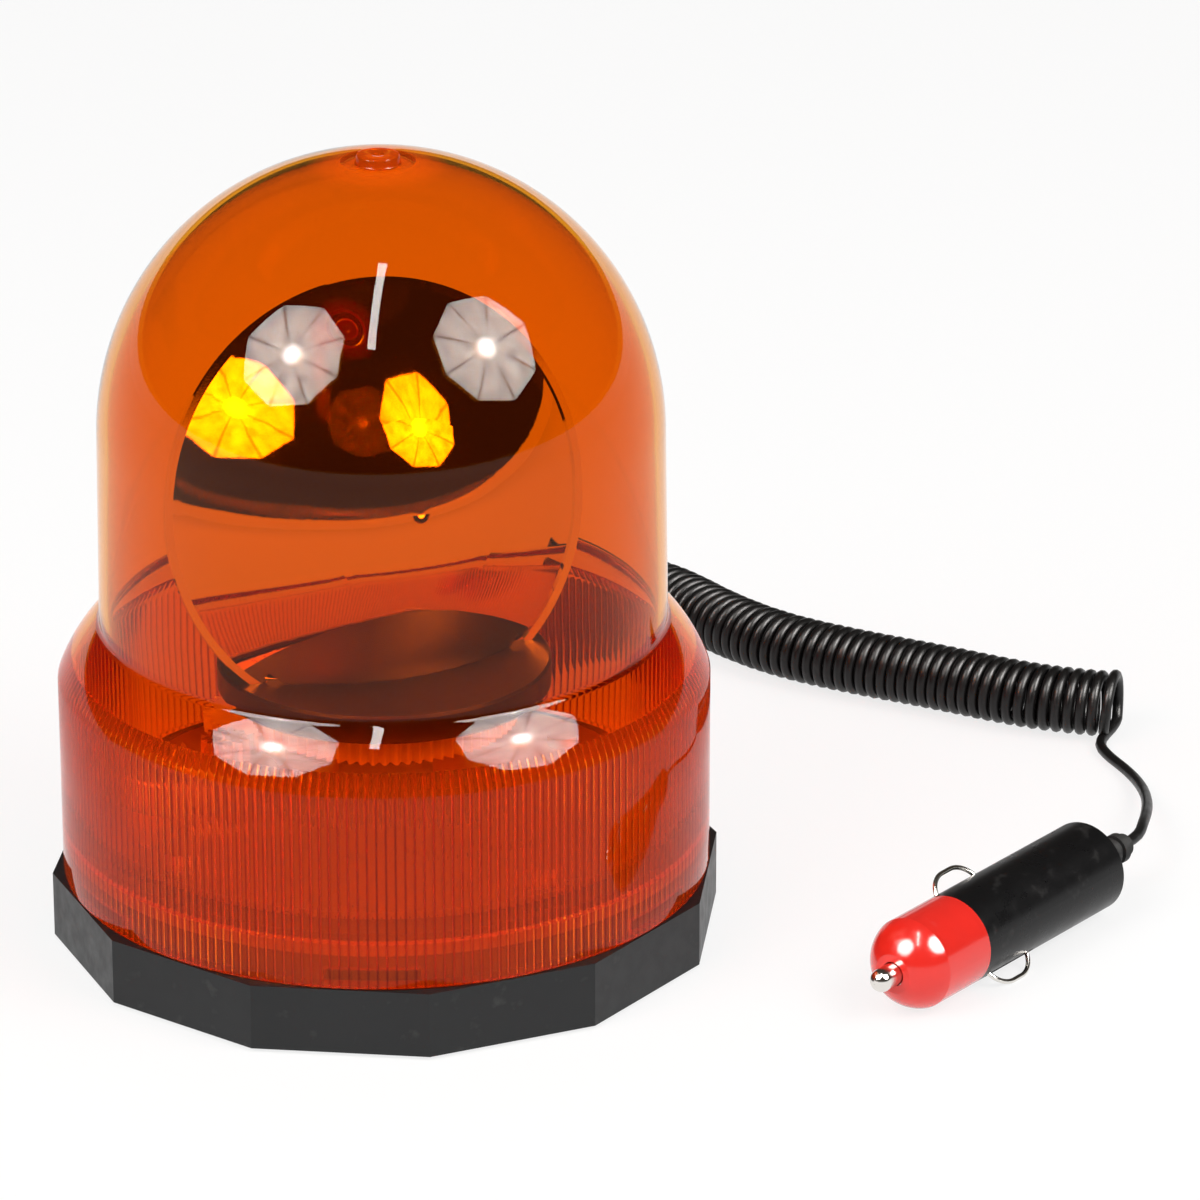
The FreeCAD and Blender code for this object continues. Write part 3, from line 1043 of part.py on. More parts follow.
def side_contact():
    """A bowed wire with two feet that stay behind the wall of the plug."""
    half, bow = size("side_length / 2"), size("side_bow")
    bend, foot, middle = size("side_bend"), size("side_foot"), size("side_middle")
    low_r = size("plug_r + side_rise - side_wire_r - side_bow")
    foot_r = low_r - bend
    slant = math.sqrt(0.5)
    edges, tops = [], []
    for side in (-1, 1):
        end = middle + side * half
        outer = Vector(foot_r, 0, end + side * (bend + foot))
        knee = Vector(foot_r, 0, end + side * bend)
        low = Vector(low_r, 0, end)
        bent = Vector(low_r - bend * slant, 0, end + side * bend * (1 - slant))
        bowed = Vector(low_r + bow * slant, 0, end - side * bow * (1 - slant))
        tops.append(Vector(low_r + bow, 0, end - side * bow))
        edges.append([
            Part.makeLine(outer, knee), Part.Arc(knee, bent, low).toShape(),
            Part.Arc(low, bowed, tops[-1]).toShape()])
    path = Part.Wire(edges[0] + [Part.makeLine(*tops)] + edges[1][::-1])
    start = Vector(foot_r, 0, middle - half - bend - foot)
    ring = Part.Wire(Part.makeCircle(size("side_wire_r"), start, Vector(0, 0, 1)))
    return path.makePipeShell([ring], True, False)


# --- build, check and write ----------------------------------------------------------------

def check_document():
    """Stop if any object failed or any node has no sound shape."""
    for item in doc.Objects:
        faults = {"Invalid", "Error"} & set(item.State)
        if faults:
            raise RuntimeError(f"{item.Label} is {faults}")
    for item in nodes:
        if item.Shape.isNull() or not item.Shape.isValid() or not item.Shape.Solids:
            raise RuntimeError(f"{item.Label} has no sound solid")


def write_nodes():
    """Write each node's shape to its own file."""
    os.makedirs("parts", exist_ok=True)
    for item in nodes:
        item.Shape.exportStep(f"parts/{item.Label}.step")
        box = item.Shape.BoundBox
        print(f"{item.Label}: {len(item.Shape.Solids)} solid(s), {item.Shape.Volume:.1f} mm3, "
              f"z {box.ZMin:.2f} to {box.ZMax:.2f}")


build_base()
build_magnet()
build_lens()
build_chassis()
build_lamp()
build_gears()
build_motor()
build_turntable()
build_cords()
build_plug()
doc.recompute()
check_document()
write_nodes()
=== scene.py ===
"""Looks of the rotating beacon: camera, lead, amber lens, finishes, studio and floor, in metres."""
import json
import math

import bmesh
import bpy
import numpy as np
from mathutils import Matrix, Vector


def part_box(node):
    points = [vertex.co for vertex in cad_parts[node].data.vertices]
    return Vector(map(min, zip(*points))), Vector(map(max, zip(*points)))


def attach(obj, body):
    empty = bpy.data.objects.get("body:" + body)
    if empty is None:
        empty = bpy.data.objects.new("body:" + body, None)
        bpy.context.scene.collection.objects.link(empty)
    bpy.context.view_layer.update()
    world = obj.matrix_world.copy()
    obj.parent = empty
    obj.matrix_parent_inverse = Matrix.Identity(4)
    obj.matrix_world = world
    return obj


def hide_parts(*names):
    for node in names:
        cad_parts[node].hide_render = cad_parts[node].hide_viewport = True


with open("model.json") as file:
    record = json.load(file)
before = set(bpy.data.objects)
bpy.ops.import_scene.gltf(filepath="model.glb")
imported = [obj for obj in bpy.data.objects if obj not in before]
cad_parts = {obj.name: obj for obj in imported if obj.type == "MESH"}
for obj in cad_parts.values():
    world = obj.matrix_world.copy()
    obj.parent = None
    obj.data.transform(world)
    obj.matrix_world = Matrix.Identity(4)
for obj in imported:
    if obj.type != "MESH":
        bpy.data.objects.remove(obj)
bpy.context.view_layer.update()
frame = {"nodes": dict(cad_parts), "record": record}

scene = bpy.context.scene
scene.view_settings.view_transform = "Standard"
MM = 0.001

# --- camera --------------------------------------------------------------------------------

CAMERA_SPOT = Vector((0.2030, -1.3811, 0.6442))
CAMERA_AIM = Vector((0.0484, -0.0024, 0.0800))
CAMERA_LENS = 204.4
CAMERA_SENSOR = 36.0


def add_camera():
    """The only camera, aimed between the beacon and its plug."""
    data = bpy.data.cameras.new("camera")
    data.lens = CAMERA_LENS
    data.sensor_width = CAMERA_SENSOR
    camera = bpy.data.objects.new("camera", data)
    camera.location = CAMERA_SPOT
    camera.rotation_mode = "QUATERNION"
    camera.rotation_quaternion = (CAMERA_AIM - CAMERA_SPOT).to_track_quat("-Z", "Y")
    scene.collection.objects.link(camera)
    scene.camera = camera


add_camera()

# --- lead ----------------------------------------------------------------------------------

CORD_R = 1.3 * MM
COIL_R = 8.0 * MM
HELIX_R = COIL_R - CORD_R
TURN_GAP = 0.06 * MM
POINTS_PER_TURN = 14
HELIX_START = 1.5 * MM
HELIX_END = 2.6 * MM
END_BULGE = 0.5 * MM
END_REACH = 0.6 * MM
BEND_REACH = 20
LEAD_POINTS = [
    (0, 0.08194, 0.0072), (0, 0.0885, 0.0072), (-0.0016, 0.0970, 0.0050), (-0.0060, 0.1055, 0.0026),
    (-0.0120, 0.1130, 0.00155), (-0.0180, 0.1205, 0.00145), (-0.0210, 0.1290, 0.00145),
    (-0.0205, 0.1375, 0.00145), (-0.0170, 0.1437, 0.00145)]
COIL_POINTS = [
    (-0.0110, 0.1460, 0.00815), (-0.0105, 0.1600, 0.00815), (-0.0020, 0.1770, 0.00815),
    (0.0130, 0.1875, 0.00815), (0.0310, 0.1875, 0.00815), (0.0470, 0.1770, 0.00815),
    (0.0605, 0.1615, 0.00815), (0.0760, 0.1490, 0.00815), (0.0950, 0.1405, 0.00815),
    (0.1150, 0.1335, 0.00815), (0.1340, 0.1255, 0.00815), (0.1480, 0.1220, 0.00815),
    (0.1590, 0.1210, 0.00815)]
TAIL_POINTS = [
    (0.1546, 0.1132, 0.00145), (0.1574, 0.1056, 0.00145), (0.1623, 0.0972, 0.0016),
    (0.1656, 0.0875, 0.0026), (0.1674, 0.0765, 0.0046), (0.1682, 0.0650, 0.0072),
    (0.1682, 0.0540, 0.0094), (0.1677, 0.0465, 0.0105), (0.16707, 0.03904, 0.0106),
    (0.16386, 0.03398, 0.0106)]


def nurbs(name, points):
    """A curve of one open quadratic NURBS spline with these control points."""
    data = bpy.data.curves.new(name, "CURVE")
    data.dimensions = "3D"
    data.use_path = False
    spline = data.splines.new("NURBS")
    spline.points.add(len(points) - 1)
    for control, point in zip(spline.points, points):
        control.co = (*point, 1)
        control.radius = CORD_R
    spline.order_u = 3
    spline.use_endpoint_u = True
    curve = bpy.data.objects.new(name, data)
    scene.collection.objects.link(curve)
    return curve


def read_route(points, resolution=24):
    """Points along the NURBS route, close together, as the rows of an array."""
    route = nurbs("route", points)
    route.data.resolution_u = resolution
    mesh = bpy.data.meshes.new_from_object(route)
    spots = np.array([vertex.co for vertex in mesh.vertices])
    bpy.data.objects.remove(route)
    return spots


def helix_points():
    """Control points of the curly stretch, wound round the coil's route, closer at its straights."""
    spots = read_route(COIL_POINTS)
    steps = np.linalg.norm(np.diff(spots, axis=0), axis=1)
    along = np.concatenate([[0], np.cumsum(steps)])
    tangents = np.gradient(spots, along, axis=0)
    tangents /= np.linalg.norm(tangents, axis=1)[:, None]
    bend = np.linalg.norm(np.gradient(tangents, along, axis=0), axis=1)
    bend = np.pad(bend, BEND_REACH, mode="edge")
    bend = np.convolve(bend, np.ones(2 * BEND_REACH + 1) / (2 * BEND_REACH + 1), mode="valid")
    up = np.array([0, 0, 1.0])
    control_r = HELIX_R / math.cos(math.pi / POINTS_PER_TURN)
    turn_step = 2 * math.pi / POINTS_PER_TURN
    last = along[-1] - HELIX_END
    place, angle = HELIX_START, math.pi
    rows = []
    while place < last or math.cos(angle) > math.cos(math.pi - turn_step / 2):
        rows.append((place, angle))
        curve = np.interp(place, along, bend)
        pitch = (2 * CORD_R + TURN_GAP) / (1 - HELIX_R * curve)
        place += pitch / POINTS_PER_TURN
        angle += turn_step
    points = []
    end_angle = rows[-1][1]
    for place, angle in rows:
        left = (end_angle - angle) / (2 * math.pi)
        swell = math.sin(math.pi * left) ** 2 if left < 1 else 0.0
        place = place + END_REACH * swell
        radius = control_r + END_BULGE * swell
        centre = np.array([np.interp(place, along, spots[:, axis]) for axis in range(3)])
        tangent = np.array([np.interp(place, along, tangents[:, axis]) for axis in range(3)])
        over = max(0.0, place - along[-1])
        centre = centre + tangent * over
        side = np.cross(up, tangent)
        points.append(tuple(centre + radius * (math.cos(angle) * up + math.sin(angle) * side)))
    return points


def add_cord():
    """The whole lead: straight from the gland, curly, and straight again into the plug."""
    cord = nurbs("curly_lead", LEAD_POINTS + helix_points() + TAIL_POINTS)
    cord.data.resolution_u = 3
    cord.data.bevel_depth = 1.0
    cord.data.bevel_resolution = 3
    cord.data.use_fill_caps = True
    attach(cord, "base")
    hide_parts("cord_lead", "cord_coil", "cord_tail")
    return cord


cord = add_cord()

# --- shader helpers ------------------------------------------------------------------------


def node(tree, kind, inputs=(), **settings):
    """Add a shader node, set its properties, and give its inputs numbers, colours or sockets."""
    item = tree.nodes.new("ShaderNode" + kind)
    for name, setting in settings.items():
        setattr(item, name, setting)
    for name, value in dict(inputs).items():
        if isinstance(value, bpy.types.NodeSocket):
            tree.links.new(value, item.inputs[name])
        else:
            item.inputs[name].default_value = value
    return item


def new_material(name):
    """An empty node material, its tree and its output node."""
    material = bpy.data.materials.new(name)
    material.use_nodes = True
    tree = material.node_tree
    tree.nodes.clear()
    return material, tree, node(tree, "OutputMaterial")


def object_place(tree):
    """The place on the object, in metres."""
    return node(tree, "TexCoord").outputs["Object"]


def noise(tree, scale, detail=3.0, place=None):
    """Noise from 0 to 1 at a scale per metre."""
    place = place or object_place(tree)
    return node(tree, "TexNoise", {"Vector": place, "Scale": scale, "Detail": detail}).outputs["Fac"]


def maths(tree, operation, *values, **settings):
    """The result of an operation on numbers or sockets."""
    return node(tree, "Math", dict(enumerate(values)), operation=operation, **settings).outputs[0]


def spread(tree, value, low, high, start=0.0, end=1.0):
    """A value between start and end mapped to between low and high, which may be sockets too."""
    inputs = {"Value": value, "From Min": start, "From Max": end, "To Min": low, "To Max": high}
    return node(tree, "MapRange", inputs).outputs["Result"]


def blend_colours(tree, factor, first, second):
    """A mix of two colours."""
    return node(tree, "Mix", {0: factor, 6: first, 7: second}, data_type="RGBA").outputs[2]


def bump(tree, height, distance, strength=1.0):
    """A normal disturbed by a height."""
    return node(tree, "Bump", {"Height": height, "Distance": distance, "Strength": strength}).outputs[0]


def surface(tree, output, inputs):
    """A Principled shader on the material's output."""
    shader = node(tree, "BsdfPrincipled", inputs)
    tree.links.new(shader.outputs[0], output.inputs["Surface"])


def glass_surface(tree, output, body, tint):
    """A glass-like shader on the material's output, tinting the light that falls through it."""
    through = node(tree, "BsdfTransparent", {"Color": tint}).outputs[0]
    rays = node(tree, "LightPath")
    mix = node(tree, "MixShader", {0: rays.outputs["Is Shadow Ray"], 1: body, 2: through})
    tree.links.new(mix.outputs[0], output.inputs["Surface"])


def ribs_round(tree, across, up, count):
    """A wave round the axis: 0 at that many even places, 1 halfway between them."""
    turn = maths(tree, "ARCTAN2", up, across)
    return maths(tree, "ABSOLUTE", maths(tree, "SINE", maths(tree, "MULTIPLY", turn, count / 2)))


def background_rays(tree):
    """1 for the camera's rays and for those that mirrors and glass send on, 0 for the rest."""
    rays = node(tree, "LightPath").outputs
    seen = maths(tree, "MAXIMUM", rays["Is Camera Ray"], rays["Is Glossy Ray"])
    return maths(tree, "MAXIMUM", seen, rays["Is Transmission Ray"])


# --- finishes ------------------------------------------------------------------------------


def shade(colour, factor):
    """A colour made darker or lighter."""
    return (*[channel * factor for channel in colour], 1)


def moulded(name, colour, roughness, grain_scale=2600.0, grain_depth=0.00002, dust=0.04, **more):
    """Moulded plastic with a fine grain, soft colour clouds and a roughness that varies."""
    material, tree, output = new_material(name)
    clouds = noise(tree, 45.0, 4.0)
    grain = noise(tree, grain_scale, 2.0)
    scuffs = noise(tree, 260.0, 6.0)
    base = blend_colours(tree, clouds, shade(colour, 0.86), shade(colour, 1.14))
    rubbed = spread(tree, scuffs, 0.0, dust, 0.62, 0.8)
    base = blend_colours(tree, rubbed, base, (0.55, 0.54, 0.52, 1))
    rough = spread(tree, scuffs, roughness * 0.85, roughness * 1.2, 0.3, 0.75)
    surface(tree, output, {
        "Base Color": base, "Roughness": rough, "Normal": bump(tree, grain, grain_depth, 0.6), **more})
    return material


def metal(name, colour, roughness, brushed=0.00001, scale=900.0, stain=0.12, **more):
    """Metal with faint turning marks, soft stains and uneven polish."""
    material, tree, output = new_material(name)
    place = node(tree, "Mapping", {"Vector": object_place(tree), "Scale": (1, 1, 6)}).outputs[0]
    marks = noise(tree, scale, 4.0, place)
    stains = noise(tree, 130.0, 5.0)
    stained = spread(tree, stains, 0.0, stain, 0.45, 0.75)
    base = blend_colours(tree, stained, shade(colour, 1), shade(colour, 0.55))
    rough = spread(tree, stains, roughness * 0.8, roughness * 1.4, 0.3, 0.7)
    surface(tree, output, {
        "Base Color": base, "Metallic": 1.0, "Roughness": rough,
        "Normal": bump(tree, marks, brushed, 0.5), **more})
    return material


def rubbery(name, colour, roughness):
    """Rubber or silicone with a matte bloom."""
    return moulded(name, colour, roughness, grain_scale=1500.0, grain_depth=0.00004, dust=0.1)


AMBER = (0.86, 0.315, 0.012, 1)
AMBER_BAND = (0.92, 0.235, 0.006, 1)
BAND_CLOUD = (0.92, 0.100, 0.003, 1)
BAND_CLOUDINESS = 0.20
BAND_FADE = (0.058, 0.072)
NUB_CLOUDINESS = 0.40
NUB_FADE = (0.1775, 0.1790)
RIBS = 220
# Painted shade: a dark tint laid along the grooves between the inside ribs, fading out by the top of the
# ribs.
RIB_GROOVE_SHADE = (0.42, 0.035, 0.002, 1)
GROOVE_SHADE_FADE = (0.0600, 0.0612)
LENS_IOR = 1.25


def amber():
    """Clear amber plastic, deeper and cloudier in the ribbed band, with painted shade along the grooves
    between its ribs, that lets light from the lamps through.
    """
    material, tree, output = new_material("amber_lens")
    place = object_place(tree)
    split = node(tree, "SeparateXYZ", {"Vector": place}).outputs
    low = spread(tree, split["Z"], 1.0, 0.0, *BAND_FADE)
    nub = spread(tree, split["Z"], 0.0, NUB_CLOUDINESS, *NUB_FADE)
    cloud = maths(tree, "ADD", spread(tree, low, 0.0, BAND_CLOUDINESS), nub)
    wave = ribs_round(tree, split["X"], split["Y"], RIBS)
    # Painted shade mask: dark lines on the rib grooves, used on both the glass tint and the cloudy diffuse
    # part.
    groove_shade = spread(tree, wave, 0.85, 0.0, 0.12, 0.55)
    groove_shade = maths(tree, "MULTIPLY", groove_shade, spread(tree, split["Z"], 1.0, 0.0, *GROOVE_SHADE_FADE))
    tint = blend_colours(tree, groove_shade, blend_colours(tree, low, AMBER, AMBER_BAND), RIB_GROOVE_SHADE)
    waves = noise(tree, 38.0, 1.0, place)
    specks = noise(tree, 900.0, 3.0, place)
    glass = node(tree, "BsdfPrincipled", {
        "Base Color": tint, "Roughness": spread(tree, specks, 0.012, 0.05, 0.55, 0.8), "IOR": LENS_IOR,
        "Transmission Weight": 1.0, "Normal": bump(tree, waves, 0.0003, 0.25)})
    milk = node(tree, "BsdfDiffuse", {"Color": blend_colours(tree, groove_shade, BAND_CLOUD, RIB_GROOVE_SHADE)})
    body = node(tree, "MixShader", {0: cloud, 1: glass.outputs[0], 2: milk.outputs[0]})
    glass_surface(tree, output, body.outputs[0], tint)
    return material


def clear_glass():
    """Clear lamp glass."""
    material, tree, output = new_material("lamp_glass")
    waves = noise(tree, 90.0, 1.0)
    glass = node(tree, "BsdfPrincipled", {
        "Base Color": (0.98, 0.98, 0.97, 1), "Roughness": 0.01, "IOR": 1.5, "Transmission Weight": 1.0,
        "Normal": bump(tree, waves, 0.0002, 0.2)})
    glass_surface(tree, output, glass.outputs[0], (0.95, 0.95, 0.95, 1))
    return material


def shine(level):
    """How strongly a surface mirrors: 0.5 is plain plastic."""
    return {"Specular IOR Level": level}


def make_finishes():
    """One material for each of the record's slots."""
    return {
        "base_plastic": moulded("base_plastic", (0.014, 0.015, 0.016), 0.42, **shine(0.32)),
        "black_plastic": moulded("black_plastic", (0.022, 0.021, 0.020), 0.45),
        "dark_plastic": moulded("dark_plastic", (0.030, 0.022, 0.018), 0.35),
        "plug_plastic": moulded("plug_plastic", (0.006, 0.006, 0.0065), 0.30, **shine(0.22)),
        "red_plastic": moulded(
            "red_plastic", (0.74, 0.022, 0.014), 0.2, **{"Coat Weight": 0.3, "Coat Roughness": 0.05}),
        "gear_plastic": moulded("gear_plastic", (0.80, 0.78, 0.70), 0.4),
        "amber_lens": amber(),
        "rubber": rubbery("rubber", (0.014, 0.014, 0.014), 0.7),
        "gasket": rubbery("gasket", (0.30, 0.27, 0.22), 0.75),
        "cord": moulded("cord", (0.008, 0.008, 0.008), 0.38, 1800.0, 0.00003, **shine(0.3)),
        "ferrite": moulded("ferrite", (0.05, 0.05, 0.05), 0.8, 900.0, 0.0001),
        "zinc_steel": metal("zinc_steel", (0.62, 0.62, 0.60), 0.32),
        "nickel": metal("nickel", (0.78, 0.76, 0.72), 0.16),
        "brass": metal("brass", (0.78, 0.58, 0.28), 0.3),
        "insulator": moulded("insulator", (0.30, 0.13, 0.06), 0.7),
        "lamp_glass": clear_glass(),
        "filament": metal("filament", (0.35, 0.35, 0.36), 0.4),
        "reflector_chrome": metal("reflector_chrome", (0.90, 0.89, 0.87), 0.03, brushed=0.000003, stain=0.03),
    }


finishes = make_finishes()


def finish_nodes():
    """Give every CAD node the finish of its slot."""
    for part in frame["record"]["subparts"]:
        data = frame["nodes"][part["node"]].data
        data.materials.clear()
        data.materials.append(finishes[part["material_slot"]])


finish_nodes()
cord.data.materials.append(finishes["cord"])

# --- lens ----------------------------------------------------------------------------------

LENS_LOW, LENS_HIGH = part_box("lens_dome")
BAND_R = LENS_HIGH[0]
LENS_BOTTOM = LENS_LOW[2]
LENS_TOP = LENS_HIGH[2]
LENS_WALL = 2.45 * MM
SKIRT_WALL = 1.65 * MM
SKIRT_TOP = 26.0 * MM
BAND_TOP = 60.5 * MM
CREASE_R = 62.9 * MM
CREASE_Z = 74.0 * MM
CREASE_SOFT = 1.0 * MM
SHOULDER_BOW = math.radians(13.5)
DOME_R = 62.3 * MM
NUB_RISE = 1.1 * MM
DOME_Z = LENS_TOP - NUB_RISE - DOME_R
GROOVE_R = 8.2 * MM
NUB_R = 4.75 * MM
DIMPLE_R = 1.4 * MM
RIB_STEPS = 8
RIB_DEPTH = 0.85 * MM
RIB_TOP = 64.5 * MM
SPIGOT_R = 66.5 * MM
LUG_GAP = 0.4 * MM
LUG_THICK = 3.4 * MM
LUG_COUNT = 6
LUG_TURN = math.radians(-24.5)
LUG_SPAN = math.radians(17.0)


def arc(centre, radius, start, end, steps):
    """Points of an arc about (r, z), from one angle to another."""
    angles = np.linspace(start, end, steps)
    return [(centre[0] + radius * math.cos(angle), centre[1] + radius * math.sin(angle)) for angle in angles]


def soften(before, corner, after, reach, steps=6):
    """Points of a small curve in place of a corner."""
    corner = np.array(corner)
    first = corner + (np.array(before) - corner) * reach / np.linalg.norm(np.array(before) - corner)
    last = corner + (np.array(after) - corner) * reach / np.linalg.norm(np.array(after) - corner)
    shares = np.linspace(0, 1, steps)
    return [tuple((1 - t) ** 2 * first + 2 * t * (1 - t) * corner + t * t * last) for t in shares]


def shoulder_arc(outer_r, crease_r, crease_z):
    """Centre, radius and end angles of the flat arc from the upright band in to the crease."""
    inward, rise = outer_r - crease_r, crease_z - BAND_TOP
    lean = math.atan2(inward, rise)
    radius = math.hypot(inward, rise) / 2 / math.sin(SHOULDER_BOW)
    start = lean - SHOULDER_BOW
    centre = (outer_r - radius * math.cos(start), BAND_TOP - radius * math.sin(start))
    return centre, radius, start, lean + SHOULDER_BOW


def shoulder(outer_r, crease_r, crease_z, steps):
    """Points of the shoulder from the band to the crease."""
    return arc(*shoulder_arc(outer_r, crease_r, crease_z), steps)


def outer_profile():
    """Outside of the lens from its bottom edge to its middle, as (r, z)."""
    bend = shoulder(BAND_R, CREASE_R, CREASE_Z, 16)
    crease = soften(bend[-2], (CREASE_R, CREASE_Z), (DOME_R, DOME_Z), CREASE_SOFT)
    taper, height = DOME_R - CREASE_R, DOME_Z - CREASE_Z
    wall = [(CREASE_R + taper * share, CREASE_Z + height * share) for share in (0.25, 0.5, 0.75)]
    top_angle = math.acos(GROOVE_R / DOME_R)
    dome = arc((0, DOME_Z), DOME_R, 0, top_angle, 40)
    groove_z = dome[-1][1]
    soft = 0.15 * MM
    nub = [
        (GROOVE_R - 0.15 * MM, groove_z - 0.12 * MM), (GROOVE_R - 0.7 * MM, groove_z - 0.5 * MM),
        (GROOVE_R - 1.2 * MM, groove_z - 0.55 * MM), (NUB_R + 1.0 * MM, groove_z - 0.5 * MM),
        (NUB_R + 0.35 * MM, groove_z - 0.3 * MM), (NUB_R + 0.1 * MM, groove_z + 0.1 * MM),
        (NUB_R, LENS_TOP - 0.4 * MM), (NUB_R - soft, LENS_TOP - soft), (NUB_R - 0.5 * MM, LENS_TOP),
        (DIMPLE_R + 0.2 * MM, LENS_TOP), (DIMPLE_R - 0.1 * MM, LENS_TOP - 0.15 * MM),
        (DIMPLE_R - 0.5 * MM, LENS_TOP - 0.6 * MM), (0.3 * MM, LENS_TOP - 0.7 * MM)]
    lip = [(BAND_R - 0.35 * MM, LENS_BOTTOM), (BAND_R - 0.08 * MM, LENS_BOTTOM + 0.1 * MM)]
    band = [(BAND_R, LENS_BOTTOM + 0.35 * MM), (BAND_R, SKIRT_TOP), (BAND_R, (SKIRT_TOP + BAND_TOP) / 2)]
    return lip + band + bend[:-1] + crease + wall + dome + nub


def inner_profile():
    """Inside of the lens from its middle down to the top of the ribs."""
    bore_r, crease_r = BAND_R - LENS_WALL, CREASE_R - LENS_WALL
    crease_z = CREASE_Z - LENS_WALL / 2
    dome = arc((0, DOME_Z), DOME_R - LENS_WALL, math.pi / 2 - 0.01, 0, 36)
    bend = [spot for spot in shoulder(bore_r, crease_r, crease_z, 16)[::-1] if spot[1] > RIB_TOP]
    crease = soften(dome[-1], (crease_r, crease_z), bend[1], CREASE_SOFT)
    return dome + crease + bend[1:]


def bore_at(height):
    """Inside radius of the lens, without its ribs."""
    if height <= SKIRT_TOP:
        return BAND_R - SKIRT_WALL
    bore_r = BAND_R - LENS_WALL
    if height <= BAND_TOP:
        return bore_r
    centre, radius, _, _ = shoulder_arc(bore_r, CREASE_R - LENS_WALL, CREASE_Z - LENS_WALL / 2)
    return centre[0] + math.sqrt(radius ** 2 - (height - centre[1]) ** 2)


def ribbed_rows():
    """Rings of the ribbed inside from the top down: a radius for each column, and a height."""
    columns = RIBS * RIB_STEPS
    turns = np.arange(columns) / columns * 2 * math.pi
    waves = np.abs(np.sin(turns * RIBS / 2))
    lug_turns = (turns - LUG_TURN + math.pi / LUG_COUNT) % (2 * math.pi / LUG_COUNT) - math.pi / LUG_COUNT
    on_lug = np.abs(lug_turns) <= LUG_SPAN / 2
    lug_low = LENS_BOTTOM + LUG_GAP
    lug_high = lug_low + LUG_THICK
    step = 0.02 * MM
    rows = []

    def row(height, depth, bore=None, lug=False):
        radius = (bore or bore_at(height)) - depth * waves
        if lug:
            radius = np.where(on_lug, SPIGOT_R + LUG_GAP, radius)
        rows.append((radius, height))

    row(RIB_TOP, 0.0)
    for height in np.linspace(RIB_TOP - 0.25 * MM, BAND_TOP, 5):
        row(height, RIB_DEPTH)
    row(SKIRT_TOP + 0.3 * MM, RIB_DEPTH)
    row(SKIRT_TOP, RIB_DEPTH, BAND_R - LENS_WALL + 0.2 * MM)
    row(SKIRT_TOP - step, RIB_DEPTH)
    row(lug_high + step, RIB_DEPTH)
    row(lug_high, RIB_DEPTH, lug=True)
    row(lug_low, RIB_DEPTH, lug=True)
    row(lug_low - step, RIB_DEPTH)
    row(LENS_BOTTOM, RIB_DEPTH)
    return rows


def ring(radii, height, columns):
    """Points of a ring about the axis."""
    turns = np.arange(columns) / columns * 2 * math.pi
    radii = np.broadcast_to(radii, columns)
    return [(r * math.cos(a), r * math.sin(a), height) for r, a in zip(radii, turns)]


def add_lens():
    """Closed lens: smooth outside, smooth dome inside, and fine upright ribs inside the band."""
    points, faces = [], []

    def add_ring(radii, height, columns):
        points.extend(ring(radii, height, columns))
        return range(len(points) - columns, len(points))

    def join(first, second):
        ratio = len(second) // len(first)
        for index in range(len(first)):
            after = (index + 1) % len(first)
            if ratio == 1:
                faces.append((first[index], first[after], second[after], second[index]))
                continue
            fine = [second[(index * ratio + step) % len(second)] for step in range(ratio + 1)]
            half = ratio // 2
            faces.extend((first[index], fine[step + 1], fine[step]) for step in range(half))
            faces.append((first[index], first[after], fine[half]))
            faces.extend((first[after], fine[step + 1], fine[step]) for step in range(half, ratio))

    def cap(edge, centre):
        points.append(centre)
        middle = len(points) - 1
        faces.extend((edge[index], edge[(index + 1) % len(edge)], middle) for index in range(len(edge)))

    outer = [add_ring(r, z, RIBS) for r, z in outer_profile()]
    for first, second in zip(outer, outer[1:]):
        join(first, second)
    cap(outer[-1], (0, 0, outer_profile()[-1][1]))
    inner = [add_ring(r, z, RIBS) for r, z in inner_profile()]
    for first, second in zip(inner, inner[1:]):
        join(first, second)
    cap(inner[0], (0, 0, DOME_Z + DOME_R - LENS_WALL))
    ribbed = [add_ring(r, z, RIBS * RIB_STEPS) for r, z in ribbed_rows()]
    for first, second in zip([inner[-1]] + ribbed, ribbed):
        join(first, second)
    join(outer[0], ribbed[-1])
    lens = add_mesh("lens_with_ribs", points, faces, finishes["amber_lens"])
    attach(lens, "lens")
    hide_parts("lens_dome")
    return lens


def add_mesh(name, points, faces, material, sharp=math.radians(32)):
    """A mesh object with outward normals, smooth apart from its sharp edges."""
    mesh = bpy.data.meshes.new(name)
    mesh.from_pydata(points, [], faces)
    face_up(mesh)
    mesh.shade_smooth()
    mesh.set_sharp_from_angle(angle=sharp)
    mesh.materials.append(material)
    item = bpy.data.objects.new(name, mesh)
    scene.collection.objects.link(item)
    return item


def face_up(mesh):
    """Turn the faces of a closed mesh outwards."""
    body = bmesh.new()
    body.from_mesh(mesh)
    bmesh.ops.recalc_face_normals(body, faces=body.faces)
    body.to_mesh(mesh)
    body.free()


add_lens()

# --- studio --------------------------------------------------------------------------------

SUBJECT = Vector((0, 0, 0.11))
UMBRELLA_FAR = 1.6
UMBRELLA_R = 0.60
UMBRELLA_SAG = 0.10
UMBRELLA_LEVEL = 7.6
UMBRELLA_IMAGE = 44.0
UMBRELLA_BEHIND_GLASS = 13.0
UMBRELLAS = {"umbrella_left": (-0.475, -0.553, 0.687), "umbrella_right": (0.691, -0.285, 0.666)}
GORES = 8
FLOOR_HALF = 4.0


